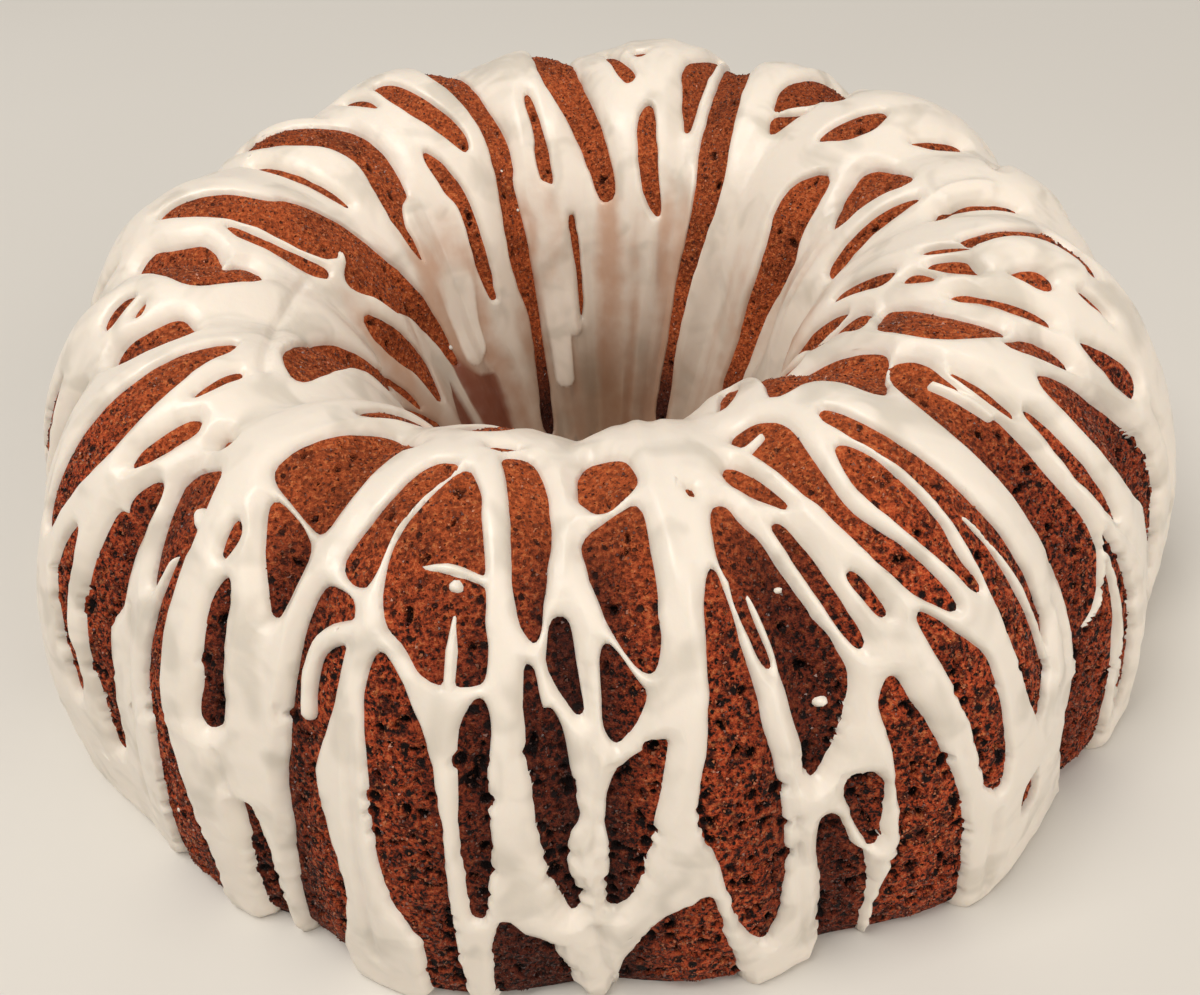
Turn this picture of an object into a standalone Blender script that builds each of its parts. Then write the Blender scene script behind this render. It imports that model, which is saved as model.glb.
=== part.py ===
"""A whole fluted ring cake, standing on its flat base as it is served.

Units are metres and +Z is up. The origin is the centre of the base. The front of the cake faces -Y,
and azimuths are measured from there: 0 degrees is the front and 90 degrees is the +X side.

The cake is one solid. Its cross-section is a closed profile: the flat base, a bulging outer wall that
rounds over to the crest, and an inner shoulder that runs down into a tapered hole. Eight broad ridges
and eight narrow ones, as the tin gives them, run from the outer base over the crest and down the hole.
"""
import math
import random

import bpy

# The cross-section, without its flutes.
BASE_RADIUS = 0.1265
WIDEST_RADIUS = 0.128
WIDEST_HEIGHT = 0.0054
CREST_RADIUS = 0.0834
CREST_HEIGHT = 0.0810
HOLE_THROAT_RADIUS = 0.0456
HOLE_THROAT_HEIGHT = 0.0416
HOLE_BASE_RADIUS = 0.0278
INNER_ROUNDNESS = 1.9  # exponent of the inner shoulder's curve; 2 would be an ellipse

# The flutes: one broad ridge and one narrow ridge repeat round the ring.
RIDGE_PAIRS = 8
PAIR_ANGLE = 360.0 / RIDGE_PAIRS
BROAD_ANGLE = 26.5
NARROW_ANGLE = PAIR_ANGLE - BROAD_ANGLE
FIRST_BROAD_AZIMUTH = -15.75
NARROW_RISE = 0.62  # height of a narrow ridge, as a share of a broad one
GROOVE_SHARPNESS = 0.66  # 1 gives an even wave, less gives rounder ridges and tighter grooves

# Ridge height over the groove floor, at stations along the profile (outer base 0, hole's foot 1).
FLUTE_DEPTHS = ((0.0, 0.0050), (0.25, 0.0070), (0.45, 0.0062), (0.62, 0.0042), (1.0, 0.0026))
OUTER_SHARE = 0.3  # how much of a ridge stands outside the profile, on the outer wall
INNER_SHARE = 0.6  # and on the hole's wall

# The bake's unevenness.
BAKE_SEED = 7
RIDGE_VARIATION = 0.10
CREST_SWELL = 0.0009

# Facets.
BROAD_STEPS = 13
NARROW_STEPS = 9
RIDGES = ((BROAD_ANGLE, 1.0, BROAD_STEPS), (NARROW_ANGLE, NARROW_RISE, NARROW_STEPS))
WALL_STEPS = 2
SHOULDER_STEPS = 8
INNER_SHOULDER_STEPS = 7
HOLE_STEPS = 4

CRUMB_COLOUR = (0.190, 0.051, 0.020, 1.0)
CRUMB_ROUGHNESS = 0.85


def profile():
    """Return (radius, height) points from the outer base over the crest to the hole's foot."""
    points = []
    for step in range(WALL_STEPS):
        rise = step / WALL_STEPS
        flare = 1.0 - (1.0 - rise) ** 2
        points.append((BASE_RADIUS + (WIDEST_RADIUS - BASE_RADIUS) * flare, WIDEST_HEIGHT * rise))
    for step in range(SHOULDER_STEPS):
        turn = 0.5 * math.pi * step / SHOULDER_STEPS
        points.append((
            CREST_RADIUS + (WIDEST_RADIUS - CREST_RADIUS) * math.cos(turn),
            WIDEST_HEIGHT + (CREST_HEIGHT - WIDEST_HEIGHT) * math.sin(turn),
        ))
    for step in range(INNER_SHOULDER_STEPS):
        turn = 0.5 * math.pi * step / INNER_SHOULDER_STEPS
        inward = math.sin(turn) ** (2.0 / INNER_ROUNDNESS)
        upward = math.cos(turn) ** (2.0 / INNER_ROUNDNESS)
        points.append((
            CREST_RADIUS - (CREST_RADIUS - HOLE_THROAT_RADIUS) * inward,
            HOLE_THROAT_HEIGHT + (CREST_HEIGHT - HOLE_THROAT_HEIGHT) * upward,
        ))
    for step in range(HOLE_STEPS + 1):
        drop = step / HOLE_STEPS
        points.append((
            HOLE_THROAT_RADIUS + (HOLE_BASE_RADIUS - HOLE_THROAT_RADIUS) * drop,
            HOLE_THROAT_HEIGHT * (1.0 - drop),
        ))
    return points


def stations(points):
    """Return each profile point as (radius, height, outward normal, share of the length)."""
    lengths = [0.0]
    for before, after in zip(points, points[1:]):
        lengths.append(lengths[-1] + math.dist(before, after))
    rows = []
    for index, (radius, height) in enumerate(points):
        before = points[max(index - 1, 0)]
        after = points[min(index + 1, len(points) - 1)]
        run = math.dist(before, after)
        normal = ((after[1] - before[1]) / run, (before[0] - after[0]) / run)
        rows.append((radius, height, normal, lengths[index] / lengths[-1]))
    return rows


def interpolate(table, position):
    """Read a value at a position from (position, value) rows, with an eased blend between rows."""
    for (start, low), (end, high) in zip(table, table[1:]):
        if position <= end:
            blend = (position - start) / (end - start)
            blend = blend * blend * (3.0 - 2.0 * blend)
            return low + (high - low) * blend
    return table[-1][1]


def ring_directions():
    """Return (azimuth, relief) pairs round the ring, with relief 0 in a groove and 1 on a full ridge."""
    variation = random.Random(BAKE_SEED)
    directions = []
    for pair in range(RIDGE_PAIRS):
        azimuth = FIRST_BROAD_AZIMUTH - 0.5 * BROAD_ANGLE + pair * PAIR_ANGLE
        for width, rise, steps in RIDGES:
            rise *= 1.0 + variation.uniform(-RIDGE_VARIATION, RIDGE_VARIATION)
            for step in range(steps):
                across = 2.0 * step / steps - 1.0
                arch = abs(math.cos(0.5 * math.pi * across)) ** (2.0 * GROOVE_SHARPNESS)
                directions.append((azimuth + width * step / steps, rise * arch))
            azimuth += width
    return directions


def cake_vertices(rows, directions):
    """Return the vertices, one ring for each profile row, each ring pushed in and out by the flutes."""
    vertices = []
    for radius, height, normal, along in rows:
        depth = interpolate(FLUTE_DEPTHS, along)
        share = OUTER_SHARE + (INNER_SHARE - OUTER_SHARE) * along
        for azimuth, relief in directions:
            swell = CREST_SWELL * math.sin(math.radians(2.0 * azimuth + 40.0)) * height / CREST_HEIGHT
            push = depth * (relief - 1.0 + share) + swell
            angle = math.radians(azimuth - 90.0)
            reach = radius + push * normal[0]
            level = height + push * normal[1] if height > 0.0 else 0.0
            vertices.append((reach * math.cos(angle), reach * math.sin(angle), level))
    return vertices


def cake_faces(ring_count, ring_size):
    """Return the quads between neighbouring rings; the last ring joins the first across the flat base."""
    faces = []
    for ring in range(ring_count):
        above = (ring + 1) % ring_count
        for side in range(ring_size):
            beside = (side + 1) % ring_size
            faces.append((
                ring * ring_size + side,
                ring * ring_size + beside,
                above * ring_size + beside,
                above * ring_size + side,
            ))
    return faces


def crumb_material():
    """Return the baked crumb's plain material."""
    material = bpy.data.materials.new("baked_crumb")
    material.use_nodes = True
    shader = material.node_tree.nodes["Principled BSDF"]
    shader.inputs["Base Color"].default_value = CRUMB_COLOUR
    shader.inputs["Roughness"].default_value = CRUMB_ROUGHNESS
    shader.inputs["Metallic"].default_value = 0.0
    return material


def build_cake():
    """Make the cake as one closed mesh object."""
    rows = stations(profile())
    directions = ring_directions()
    mesh = bpy.data.meshes.new("cake")
    mesh.from_pydata(cake_vertices(rows, directions), [], cake_faces(len(rows), len(directions)))
    mesh.validate()
    mesh.materials.append(crumb_material())
    mesh.shade_smooth()
    mesh.set_sharp_from_angle(angle=math.radians(50.0))
    cake = bpy.data.objects.new("cake", mesh)
    bpy.context.scene.collection.objects.link(cake)
    return cake


for leftover in list(bpy.data.objects):
    bpy.data.objects.remove(leftover, do_unlink=True)
build_cake()
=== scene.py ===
"""Looks of the fluted ring cake: baked crust, drizzled sugar icing, drops and crumbs.

Units are metres and +Z is up. Azimuths are degrees from the front of the cake (-Y), growing towards +X.
A place on the cake is an azimuth and a run: the millimetres along the cake's cross-section, from the
outer edge of the base (0) over the crest (about 107) and down the hole to its foot (about 207).
"""

import logging
import math
import random
from abc import ABC, abstractmethod
from dataclasses import dataclass, field
from enum import Enum
from typing import Any

import bpy
import numpy as np
from mathutils import Matrix, Vector


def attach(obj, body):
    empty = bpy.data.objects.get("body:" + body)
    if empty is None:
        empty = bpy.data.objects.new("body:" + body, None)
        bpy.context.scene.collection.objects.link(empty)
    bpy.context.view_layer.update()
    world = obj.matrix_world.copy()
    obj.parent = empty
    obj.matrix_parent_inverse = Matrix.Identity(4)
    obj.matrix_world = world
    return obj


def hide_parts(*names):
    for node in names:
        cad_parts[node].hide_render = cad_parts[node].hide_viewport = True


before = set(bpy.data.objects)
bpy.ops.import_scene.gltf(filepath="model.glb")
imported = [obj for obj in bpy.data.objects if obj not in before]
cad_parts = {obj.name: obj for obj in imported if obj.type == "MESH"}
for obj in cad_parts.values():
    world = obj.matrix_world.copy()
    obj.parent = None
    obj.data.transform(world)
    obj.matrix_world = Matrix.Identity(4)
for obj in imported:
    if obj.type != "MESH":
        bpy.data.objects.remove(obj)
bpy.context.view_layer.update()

MM = 0.001
NOISE_START = -20.0  # millimetres of run
NOISE_SPAN = 260.0  # millimetres of run, a little more than there are
Outline = tuple[tuple[float, float], ...]

log = logging.getLogger("ring_cake")


class Slot(Enum):
    """The record's material slots."""

    CRUMB = "crumb"
    ICING = "icing"


# --------------------------------------------------------------------------------------------------
# Small tools


def linear(colour: str) -> tuple[float, float, float, float]:
    """Turn an sRGB hex colour into linear values.

    Args:
        colour: The colour as "#RRGGBB".

    Returns:
        Linear red, green, blue and an alpha of 1.
    """
    channels = (int(colour[start:start + 2], 16) / 255.0 for start in (1, 3, 5))
    red, green, blue = (c / 12.92 if c <= 0.04045 else ((c + 0.055) / 1.055) ** 2.4 for c in channels)
    return red, green, blue, 1.0


def add_node(tree: bpy.types.NodeTree, kind: str, inputs: dict[Any, Any] | None = None,
             **settings: Any) -> bpy.types.Node:
    """Add one node with its settings, values and links.

    Args:
        tree: The node tree that gets the node.
        kind: The node's type name.
        inputs: A live socket's name, or a socket's index, to its value, to the output socket that it is
            linked to, or to the node whose first live output it is linked to.
        **settings: The node's own properties.

    Returns:
        The new node.
    """
    node = tree.nodes.new(kind)
    for name, value in settings.items():
        setattr(node, name, value)
    for key, value in (inputs or {}).items():
        named = (socket for socket in node.inputs if socket.enabled and socket.name == key)
        target = node.inputs[key] if isinstance(key, int) else next(named)
        if isinstance(value, bpy.types.Node):
            value = next(socket for socket in value.outputs if socket.enabled)
        if isinstance(value, bpy.types.NodeSocket):
            tree.links.new(value, target)
        else:
            target.default_value = value
    return node


def new_material(name: str) -> tuple[bpy.types.Material, bpy.types.NodeTree]:
    """Start a material with no nodes.

    Args:
        name: The material's name.

    Returns:
        The material and its node tree.
    """
    material = bpy.data.materials.new(name)
    material.use_nodes = True
    material.node_tree.nodes.clear()
    return material, material.node_tree


def smoothstep(low: float, high: float, value: np.ndarray) -> np.ndarray:
    """Blend from 0 at low to 1 at high with an eased curve.

    Args:
        low: The value that gives 0; it may be above high.
        high: The value that gives 1.
        value: The values to blend.

    Returns:
        The blend, from 0 to 1.
    """
    share = np.clip((value - low) / (high - low), 0.0, 1.0)
    return share * share * (3.0 - 2.0 * share)


def smooth_max(first: np.ndarray, second: np.ndarray, reach: float) -> np.ndarray:
    """Return the larger of two fields, rounded over where they meet.

    Args:
        first: One field.
        second: The other field.
        reach: How far apart the two still blend.

    Returns:
        The blended field.
    """
    overlap = np.maximum(reach - np.abs(first - second), 0.0)
    return np.maximum(first, second) + overlap * overlap / (4.0 * reach)


# --------------------------------------------------------------------------------------------------
# Zones along the run, and noises round the ring


class Zone(Enum):
    """Stretches of the run, in millimetres: where each starts to fade in, and where it is full."""

    # The form
    EASE_START = (132.0, 148.0)
    EASE_END = (196.0, 180.0)
    # The icing
    RAGGED = (75.0, 20.0)
    NOTCHED = (64.0, 34.0)
    DIMPLED = (80.0, 35.0)
    FOOT = (7.0, 1.0)
    HOLE = (118.0, 150.0)
    DEEP_HOLE = (150.0, 207.0)
    # Painted shade on the icing deep in the hole
    SHADED_ICING_HOLE = (146.0, 196.0)
    # The crust
    PITTED = (85.0, 18.0)
    WALL = (102.0, 68.0)
    # Grooves: browning and painted shade
    GROOVES = (108.0, 78.0)
    # Painted shade on the front wall
    SHADED_FRONT = (98.0, 66.0)
    # Painted shade at the foot, where the cake meets the board
    SHADED_FOOT = (12.0, 2.0)
    # Painted shade deep in the hole
    SHADED_HOLE = (163.0, 197.0)
    # Painted shade on the hole's far crest
    SHADED_REAR = (136.0, 118.0)

    def fade(self, run: np.ndarray) -> np.ndarray:
        """Return how far each run is into the zone, from 0 to 1."""
        return smoothstep(*self.value, run)


class Ripple(Enum):
    """Smooth seeded noises round the ring: the size in degrees and in millimetres of run, and the seed."""

    WOBBLE = (1.6, 3.2, 21)
    NIBBLE = (0.7, 1.5, 22)
    WANDER = (18.0, 40.0, 31)
    ROPES = (2.6, 34.0, 32)
    SWELLS = (7.0, 9.0, 33)
    DIMPLES = (1.3, 2.8, 34)
    PORE_PATCHES = (4.5, 11.0, 35)
    STREAKS = (7.5, 60.0, 36)
    THIN_STREAKS = (3.0, 22.0, 37)
    PORE_RIM = (0.6, 1.2, 38)
    ASTRAY = (9.0, 12.0, 39)

    def at(self, azimuth: np.ndarray, run: np.ndarray) -> np.ndarray:
        """Return the noise, which closes on itself round the ring.

        Args:
            azimuth: Azimuths in degrees.
            run: Runs in millimetres.

        Returns:
            Noise from -1 to 1 at each place.
        """
        cell_angle, cell_run, seed = self.value
        columns = max(3, round(360.0 / cell_angle))
        rows = int(NOISE_SPAN / cell_run) + 3
        lattice = np.random.default_rng(seed).uniform(-1.0, 1.0, (rows, columns))
        across = (azimuth % 360.0) / 360.0 * columns
        up = np.clip((run - NOISE_START) / cell_run, 0.0, rows - 1.001)
        left, low = np.floor(across).astype(int), np.floor(up).astype(int)
        fx, fy = across - left, up - low
        fx, fy = fx * fx * (3.0 - 2.0 * fx), fy * fy * (3.0 - 2.0 * fy)
        left, right = left % columns, (left + 1) % columns
        bottom = lattice[low, left] * (1.0 - fx) + lattice[low, right] * fx
        top = lattice[low + 1, left] * (1.0 - fx) + lattice[low + 1, right] * fx
        return bottom * (1.0 - fy) + top * fy


# --------------------------------------------------------------------------------------------------
# Meshes and node trees


def mesh_from(name: str, vertices: np.ndarray, faces: np.ndarray,
              attributes: dict[str, np.ndarray]) -> bpy.types.Mesh:
    """Make a smooth mesh from arrays.

    Args:
        name: The mesh's name.
        vertices: One row of x, y and z for each vertex.
        faces: One row of vertex indices for each quad.
        attributes: Named values, one for each vertex.

    Returns:
        The mesh.
    """
    mesh = bpy.data.meshes.new(name)
    mesh.vertices.add(len(vertices))
    mesh.vertices.foreach_set("co", vertices.astype(np.float32).ravel())
    mesh.loops.add(faces.size)
    mesh.loops.foreach_set("vertex_index", faces.astype(np.int32).ravel())
    mesh.polygons.add(len(faces))
    mesh.polygons.foreach_set("loop_start", np.arange(0, faces.size, 4, dtype=np.int32))
    mesh.update(calc_edges=True)
    for label, values in attributes.items():
        stored = mesh.attributes.new(label, "FLOAT", "POINT")
        stored.data.foreach_set("value", values.astype(np.float32).ravel())
    mesh.shade_smooth()
    return mesh


def new_piece(name: str, mesh: bpy.types.Mesh) -> bpy.types.Object:
    """Link a mesh into the scene as an object at the origin.

    Args:
        name: The piece's name.
        mesh: Its mesh.

    Returns:
        The object.
    """
    piece = bpy.data.objects.new(name, mesh)
    bpy.context.scene.collection.objects.link(piece)
    return piece


def settle(piece: bpy.types.Object) -> None:
    """Turn what a piece's modifiers make into its plain mesh, and remove them.

    Args:
        piece: The object with live modifiers.
    """
    graph = bpy.context.evaluated_depsgraph_get()
    finished = bpy.data.meshes.new_from_object(piece.evaluated_get(graph), depsgraph=graph)
    finished.name = piece.name
    piece.modifiers.clear()
    piece.data = finished


def grow(piece: bpy.types.Object, tree: bpy.types.NodeTree, values: dict[str, Any]) -> None:
    """Run a Geometry Nodes tree on a piece and keep the result as its mesh.

    Args:
        piece: The object that the tree works on.
        tree: The Geometry Nodes tree.
        values: Input name to value.
    """
    modifier = piece.modifiers.new(tree.name, "NODES")
    modifier.node_group = tree
    for item in tree.interface.items_tree:
        if item.in_out == "INPUT" and item.name in values:
            modifier[item.identifier] = values[item.name]
    settle(piece)


def thin_out(piece: bpy.types.Object, triangles: int) -> None:
    """Collapse the flatter stretches of a dense piece, which then stands on the base's plane.

    Args:
        piece: The object to thin.
        triangles: The number of triangles to reach.
    """
    count = sum(len(face.vertices) - 2 for face in piece.data.polygons)
    if count > triangles:
        modifier = piece.modifiers.new("collapse", "DECIMATE")
        modifier.ratio = triangles / count
        settle(piece)
    places = np.empty(len(piece.data.vertices) * 3, dtype=np.float32)
    piece.data.vertices.foreach_get("co", places)
    places[2::3] = np.maximum(places[2::3], 0.0)
    piece.data.vertices.foreach_set("co", places)
    piece.data.shade_smooth()


def new_tree(name: str, **sockets: tuple[str, ...]) -> tuple[bpy.types.NodeTree, Any]:
    """Start a Geometry Nodes tree with named inputs.

    Args:
        name: The tree's name.
        **sockets: Socket type, such as Float, to the names of its inputs; they follow the geometry.

    Returns:
        The tree and its inputs, by name.
    """
    tree = bpy.data.node_groups.new(name, "GeometryNodeTree")
    tree.interface.new_socket(name="Geometry", in_out="INPUT", socket_type="NodeSocketGeometry")
    for kind, labels in sockets.items():
        for label in labels:
            tree.interface.new_socket(name=label, in_out="INPUT", socket_type=f"NodeSocket{kind}")
    tree.interface.new_socket(name="Geometry", in_out="OUTPUT", socket_type="NodeSocketGeometry")
    return tree, add_node(tree, "NodeGroupInput").outputs


def close_tree(tree: bpy.types.NodeTree, geometry: bpy.types.Node, material: bpy.types.NodeSocket) -> None:
    """End a Geometry Nodes tree: realize the instances and set the material.

    Args:
        tree: The tree.
        geometry: The node that gives the finished geometry.
        material: The material to set.
    """
    realized = add_node(tree, "GeometryNodeRealizeInstances", {"Geometry": geometry})
    dressed = add_node(tree, "GeometryNodeSetMaterial", {"Geometry": realized, "Material": material})
    add_node(tree, "NodeGroupOutput", {"Geometry": dressed})


# --------------------------------------------------------------------------------------------------
# The cake's form


@dataclass
class CakeForm:
    """The fluted ring's outer surface, which the crust and the icing both follow.

    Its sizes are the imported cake's own.
    """

    base_radius: float = 0.1265
    widest_radius: float = 0.128
    widest_height: float = 0.0054
    crest_radius: float = 0.0834
    crest_height: float = 0.0810
    throat_radius: float = 0.0456
    throat_height: float = 0.0416
    foot_radius: float = 0.0278
    inner_roundness: float = 1.9
    ridge_pairs: int = 8
    broad_angle: float = 26.5
    narrow_angle: float = 18.5
    first_broad_azimuth: float = -15.75
    narrow_rise: float = 0.62
    groove_sharpness: float = 0.66
    flute_depths: Outline = ((0.0, 0.0050), (0.25, 0.0070), (0.45, 0.0062), (0.62, 0.0042), (1.0, 0.0026))
    outer_share: float = 0.3
    inner_share: float = 0.6
    bake_seed: int = 7
    ridge_variation: float = 0.10
    crest_swell: float = 0.0009
    swell_azimuth: float = 40.0  # degrees
    throat_ease: float = 16.0 * MM
    straight_steps: int = 40
    curve_steps: int = 400
    columns: int = 1440
    row_step: float = 0.55 * MM
    length: float = field(init=False)
    azimuths: np.ndarray = field(init=False, repr=False)
    runs: np.ndarray = field(init=False, repr=False)

    def __post_init__(self) -> None:
        """Work out the cross-section and the grid that the surface pieces share."""
        points = self._cross_section()
        lengths = np.concatenate(([0.0], np.cumsum(np.hypot(*np.diff(points, axis=0).T))))
        self.length = float(lengths[-1])
        rows = round(self.length / self.row_step) + 1
        even = np.linspace(0.0, self.length, rows)
        self._radius = np.interp(even, lengths, points[:, 0])
        self._height = np.interp(even, lengths, points[:, 1])
        self._ease_throat(even / MM)
        tangent = np.gradient(np.stack((self._radius, self._height), 1), even, axis=0)
        kernel = np.ones(5) / 5.0
        normal = np.stack((tangent[:, 1], -tangent[:, 0]), 1)
        for axis in (0, 1):
            normal[:, axis] = np.convolve(np.pad(normal[:, axis], 2, mode="edge"), kernel, "valid")
        self._normal = normal / np.hypot(*normal.T)[:, None]
        azimuths = np.arange(self.columns) * 360.0 / self.columns - 180.0
        self.azimuths, self.runs = np.meshgrid(azimuths, even / MM)

    def _ease_throat(self, run: np.ndarray) -> None:
        """Round off the bend where the inner shoulder runs into the hole's straight wall.

        Args:
            run: The rows' runs in millimetres.
        """
        window = round(self.throat_ease / self.row_step) // 2 * 2 + 1
        kernel = np.ones(window) / window
        share = Zone.EASE_START.fade(run) * Zone.EASE_END.fade(run)
        for values in (self._radius, self._height):
            eased = np.convolve(np.pad(values, window // 2, mode="edge"), kernel, "valid")
            values += share * (eased - values)

    def _cross_section(self) -> np.ndarray:
        """Lay out the profile that the flutes push in and out.

        Returns:
            Its (radius, height) points, from the outer base over the crest to the hole's foot.
        """
        rise = np.linspace(0.0, 1.0, self.straight_steps)
        turn = 0.5 * math.pi * np.linspace(0.0, 1.0, self.curve_steps)
        power = 2.0 / self.inner_roundness
        wall = (self.base_radius + (self.widest_radius - self.base_radius) * (1.0 - (1.0 - rise) ** 2),
                self.widest_height * rise)
        shoulder = (self.crest_radius + (self.widest_radius - self.crest_radius) * np.cos(turn),
                    self.widest_height + (self.crest_height - self.widest_height) * np.sin(turn))
        inner = (self.crest_radius - (self.crest_radius - self.throat_radius) * np.sin(turn) ** power,
                 self.throat_height
                 + (self.crest_height - self.throat_height) * np.abs(np.cos(turn)) ** power)
        hole = (self.throat_radius + (self.foot_radius - self.throat_radius) * rise,
                self.throat_height * (1.0 - rise))
        stretches = [np.stack(stretch, 1) for stretch in (wall, shoulder, inner, hole)]
        return np.concatenate([stretches[0]] + [stretch[1:] for stretch in stretches[1:]])

    def _ridge_rises(self) -> np.ndarray:
        """Vary the ridges as the bake did.

        Returns:
            Each ridge's own height, one row of broad and narrow for each pair.
        """
        variation = random.Random(self.bake_seed)
        rises = [rise * (1.0 + variation.uniform(-self.ridge_variation, self.ridge_variation))
                 for _ in range(self.ridge_pairs) for rise in (1.0, self.narrow_rise)]
        return np.array(rises).reshape(self.ridge_pairs, 2)

    def relief(self, azimuth: np.ndarray) -> np.ndarray:
        """Return how high the flutes stand: 0 in a groove and about 1 on a broad ridge.

        Args:
            azimuth: Azimuths in degrees.

        Returns:
            The relief at each azimuth.
        """
        pair_angle = self.broad_angle + self.narrow_angle
        turned = (azimuth - self.first_broad_azimuth + 0.5 * self.broad_angle) % 360.0
        pair = np.minimum((turned // pair_angle).astype(int), self.ridge_pairs - 1)
        within = turned - pair * pair_angle
        narrow = within >= self.broad_angle
        across = np.where(narrow, 2.0 * (within - self.broad_angle) / self.narrow_angle - 1.0,
                          2.0 * within / self.broad_angle - 1.0)
        rises = self._ridge_rises()
        arch = np.abs(np.cos(0.5 * math.pi * across)) ** (2.0 * self.groove_sharpness)
        return np.where(narrow, rises[pair, 1], rises[pair, 0]) * arch

    def depth(self, run: np.ndarray) -> np.ndarray:
        """Return the flutes' depth in metres along the cross-section.

        Args:
            run: Runs in millimetres.

        Returns:
            The depth at each run.
        """
        along = run * MM / self.length
        depth = np.full_like(along, self.flute_depths[-1][1])
        for (start, low), (end, high) in reversed(list(zip(self.flute_depths, self.flute_depths[1:]))):
            blended = low + (high - low) * smoothstep(start, end, along)
            depth = np.where(along <= end, blended, depth)
        return depth

    def radius_at(self, run: np.ndarray) -> np.ndarray:
        """Return the cross-section's radius in metres at each run in millimetres."""
        return np.interp(run, self.runs[:, 0], self._radius)

    def place(self, azimuth: np.ndarray, run: np.ndarray, lift: np.ndarray | float) -> np.ndarray:
        """Return points on the surface, or over it.

        Args:
            azimuth: Azimuths in degrees.
            run: Runs in millimetres.
            lift: Metres outwards from the crust.

        Returns:
            One row of x, y and z for each point.
        """
        rows = self.runs[:, 0]
        radius, height = self.radius_at(run), np.interp(run, rows, self._height)
        out, up = np.interp(run, rows, self._normal[:, 0]), np.interp(run, rows, self._normal[:, 1])
        along = run * MM / self.length
        share = self.outer_share + (self.inner_share - self.outer_share) * along
        wave = np.sin(np.radians(2.0 * azimuth + self.swell_azimuth))
        swell = self.crest_swell * wave * height / self.crest_height
        push = self.depth(run) * (self.relief(azimuth) - 1.0 + share) + swell
        grounded = np.where(height > 0.0, 1.0, 0.0)
        reach = radius + (push + lift) * out
        level = np.maximum(height + (push * grounded + lift) * up, 0.0)
        angle = np.radians(azimuth - 90.0)
        return np.stack((reach * np.cos(angle), reach * np.sin(angle), level), -1)

    def quads(self) -> np.ndarray:
        """Join the grid's places into quads.

        Returns:
            Vertex indices, shaped rows by columns by 4.
        """
        rows = self.runs.shape[0]
        index = np.arange(rows * self.columns).reshape(rows, self.columns)
        beside = np.roll(index, -1, axis=1)
        return np.stack((index[:-1], beside[:-1], beside[1:], index[1:]), -1)


# --------------------------------------------------------------------------------------------------
# Where the icing ran

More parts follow.
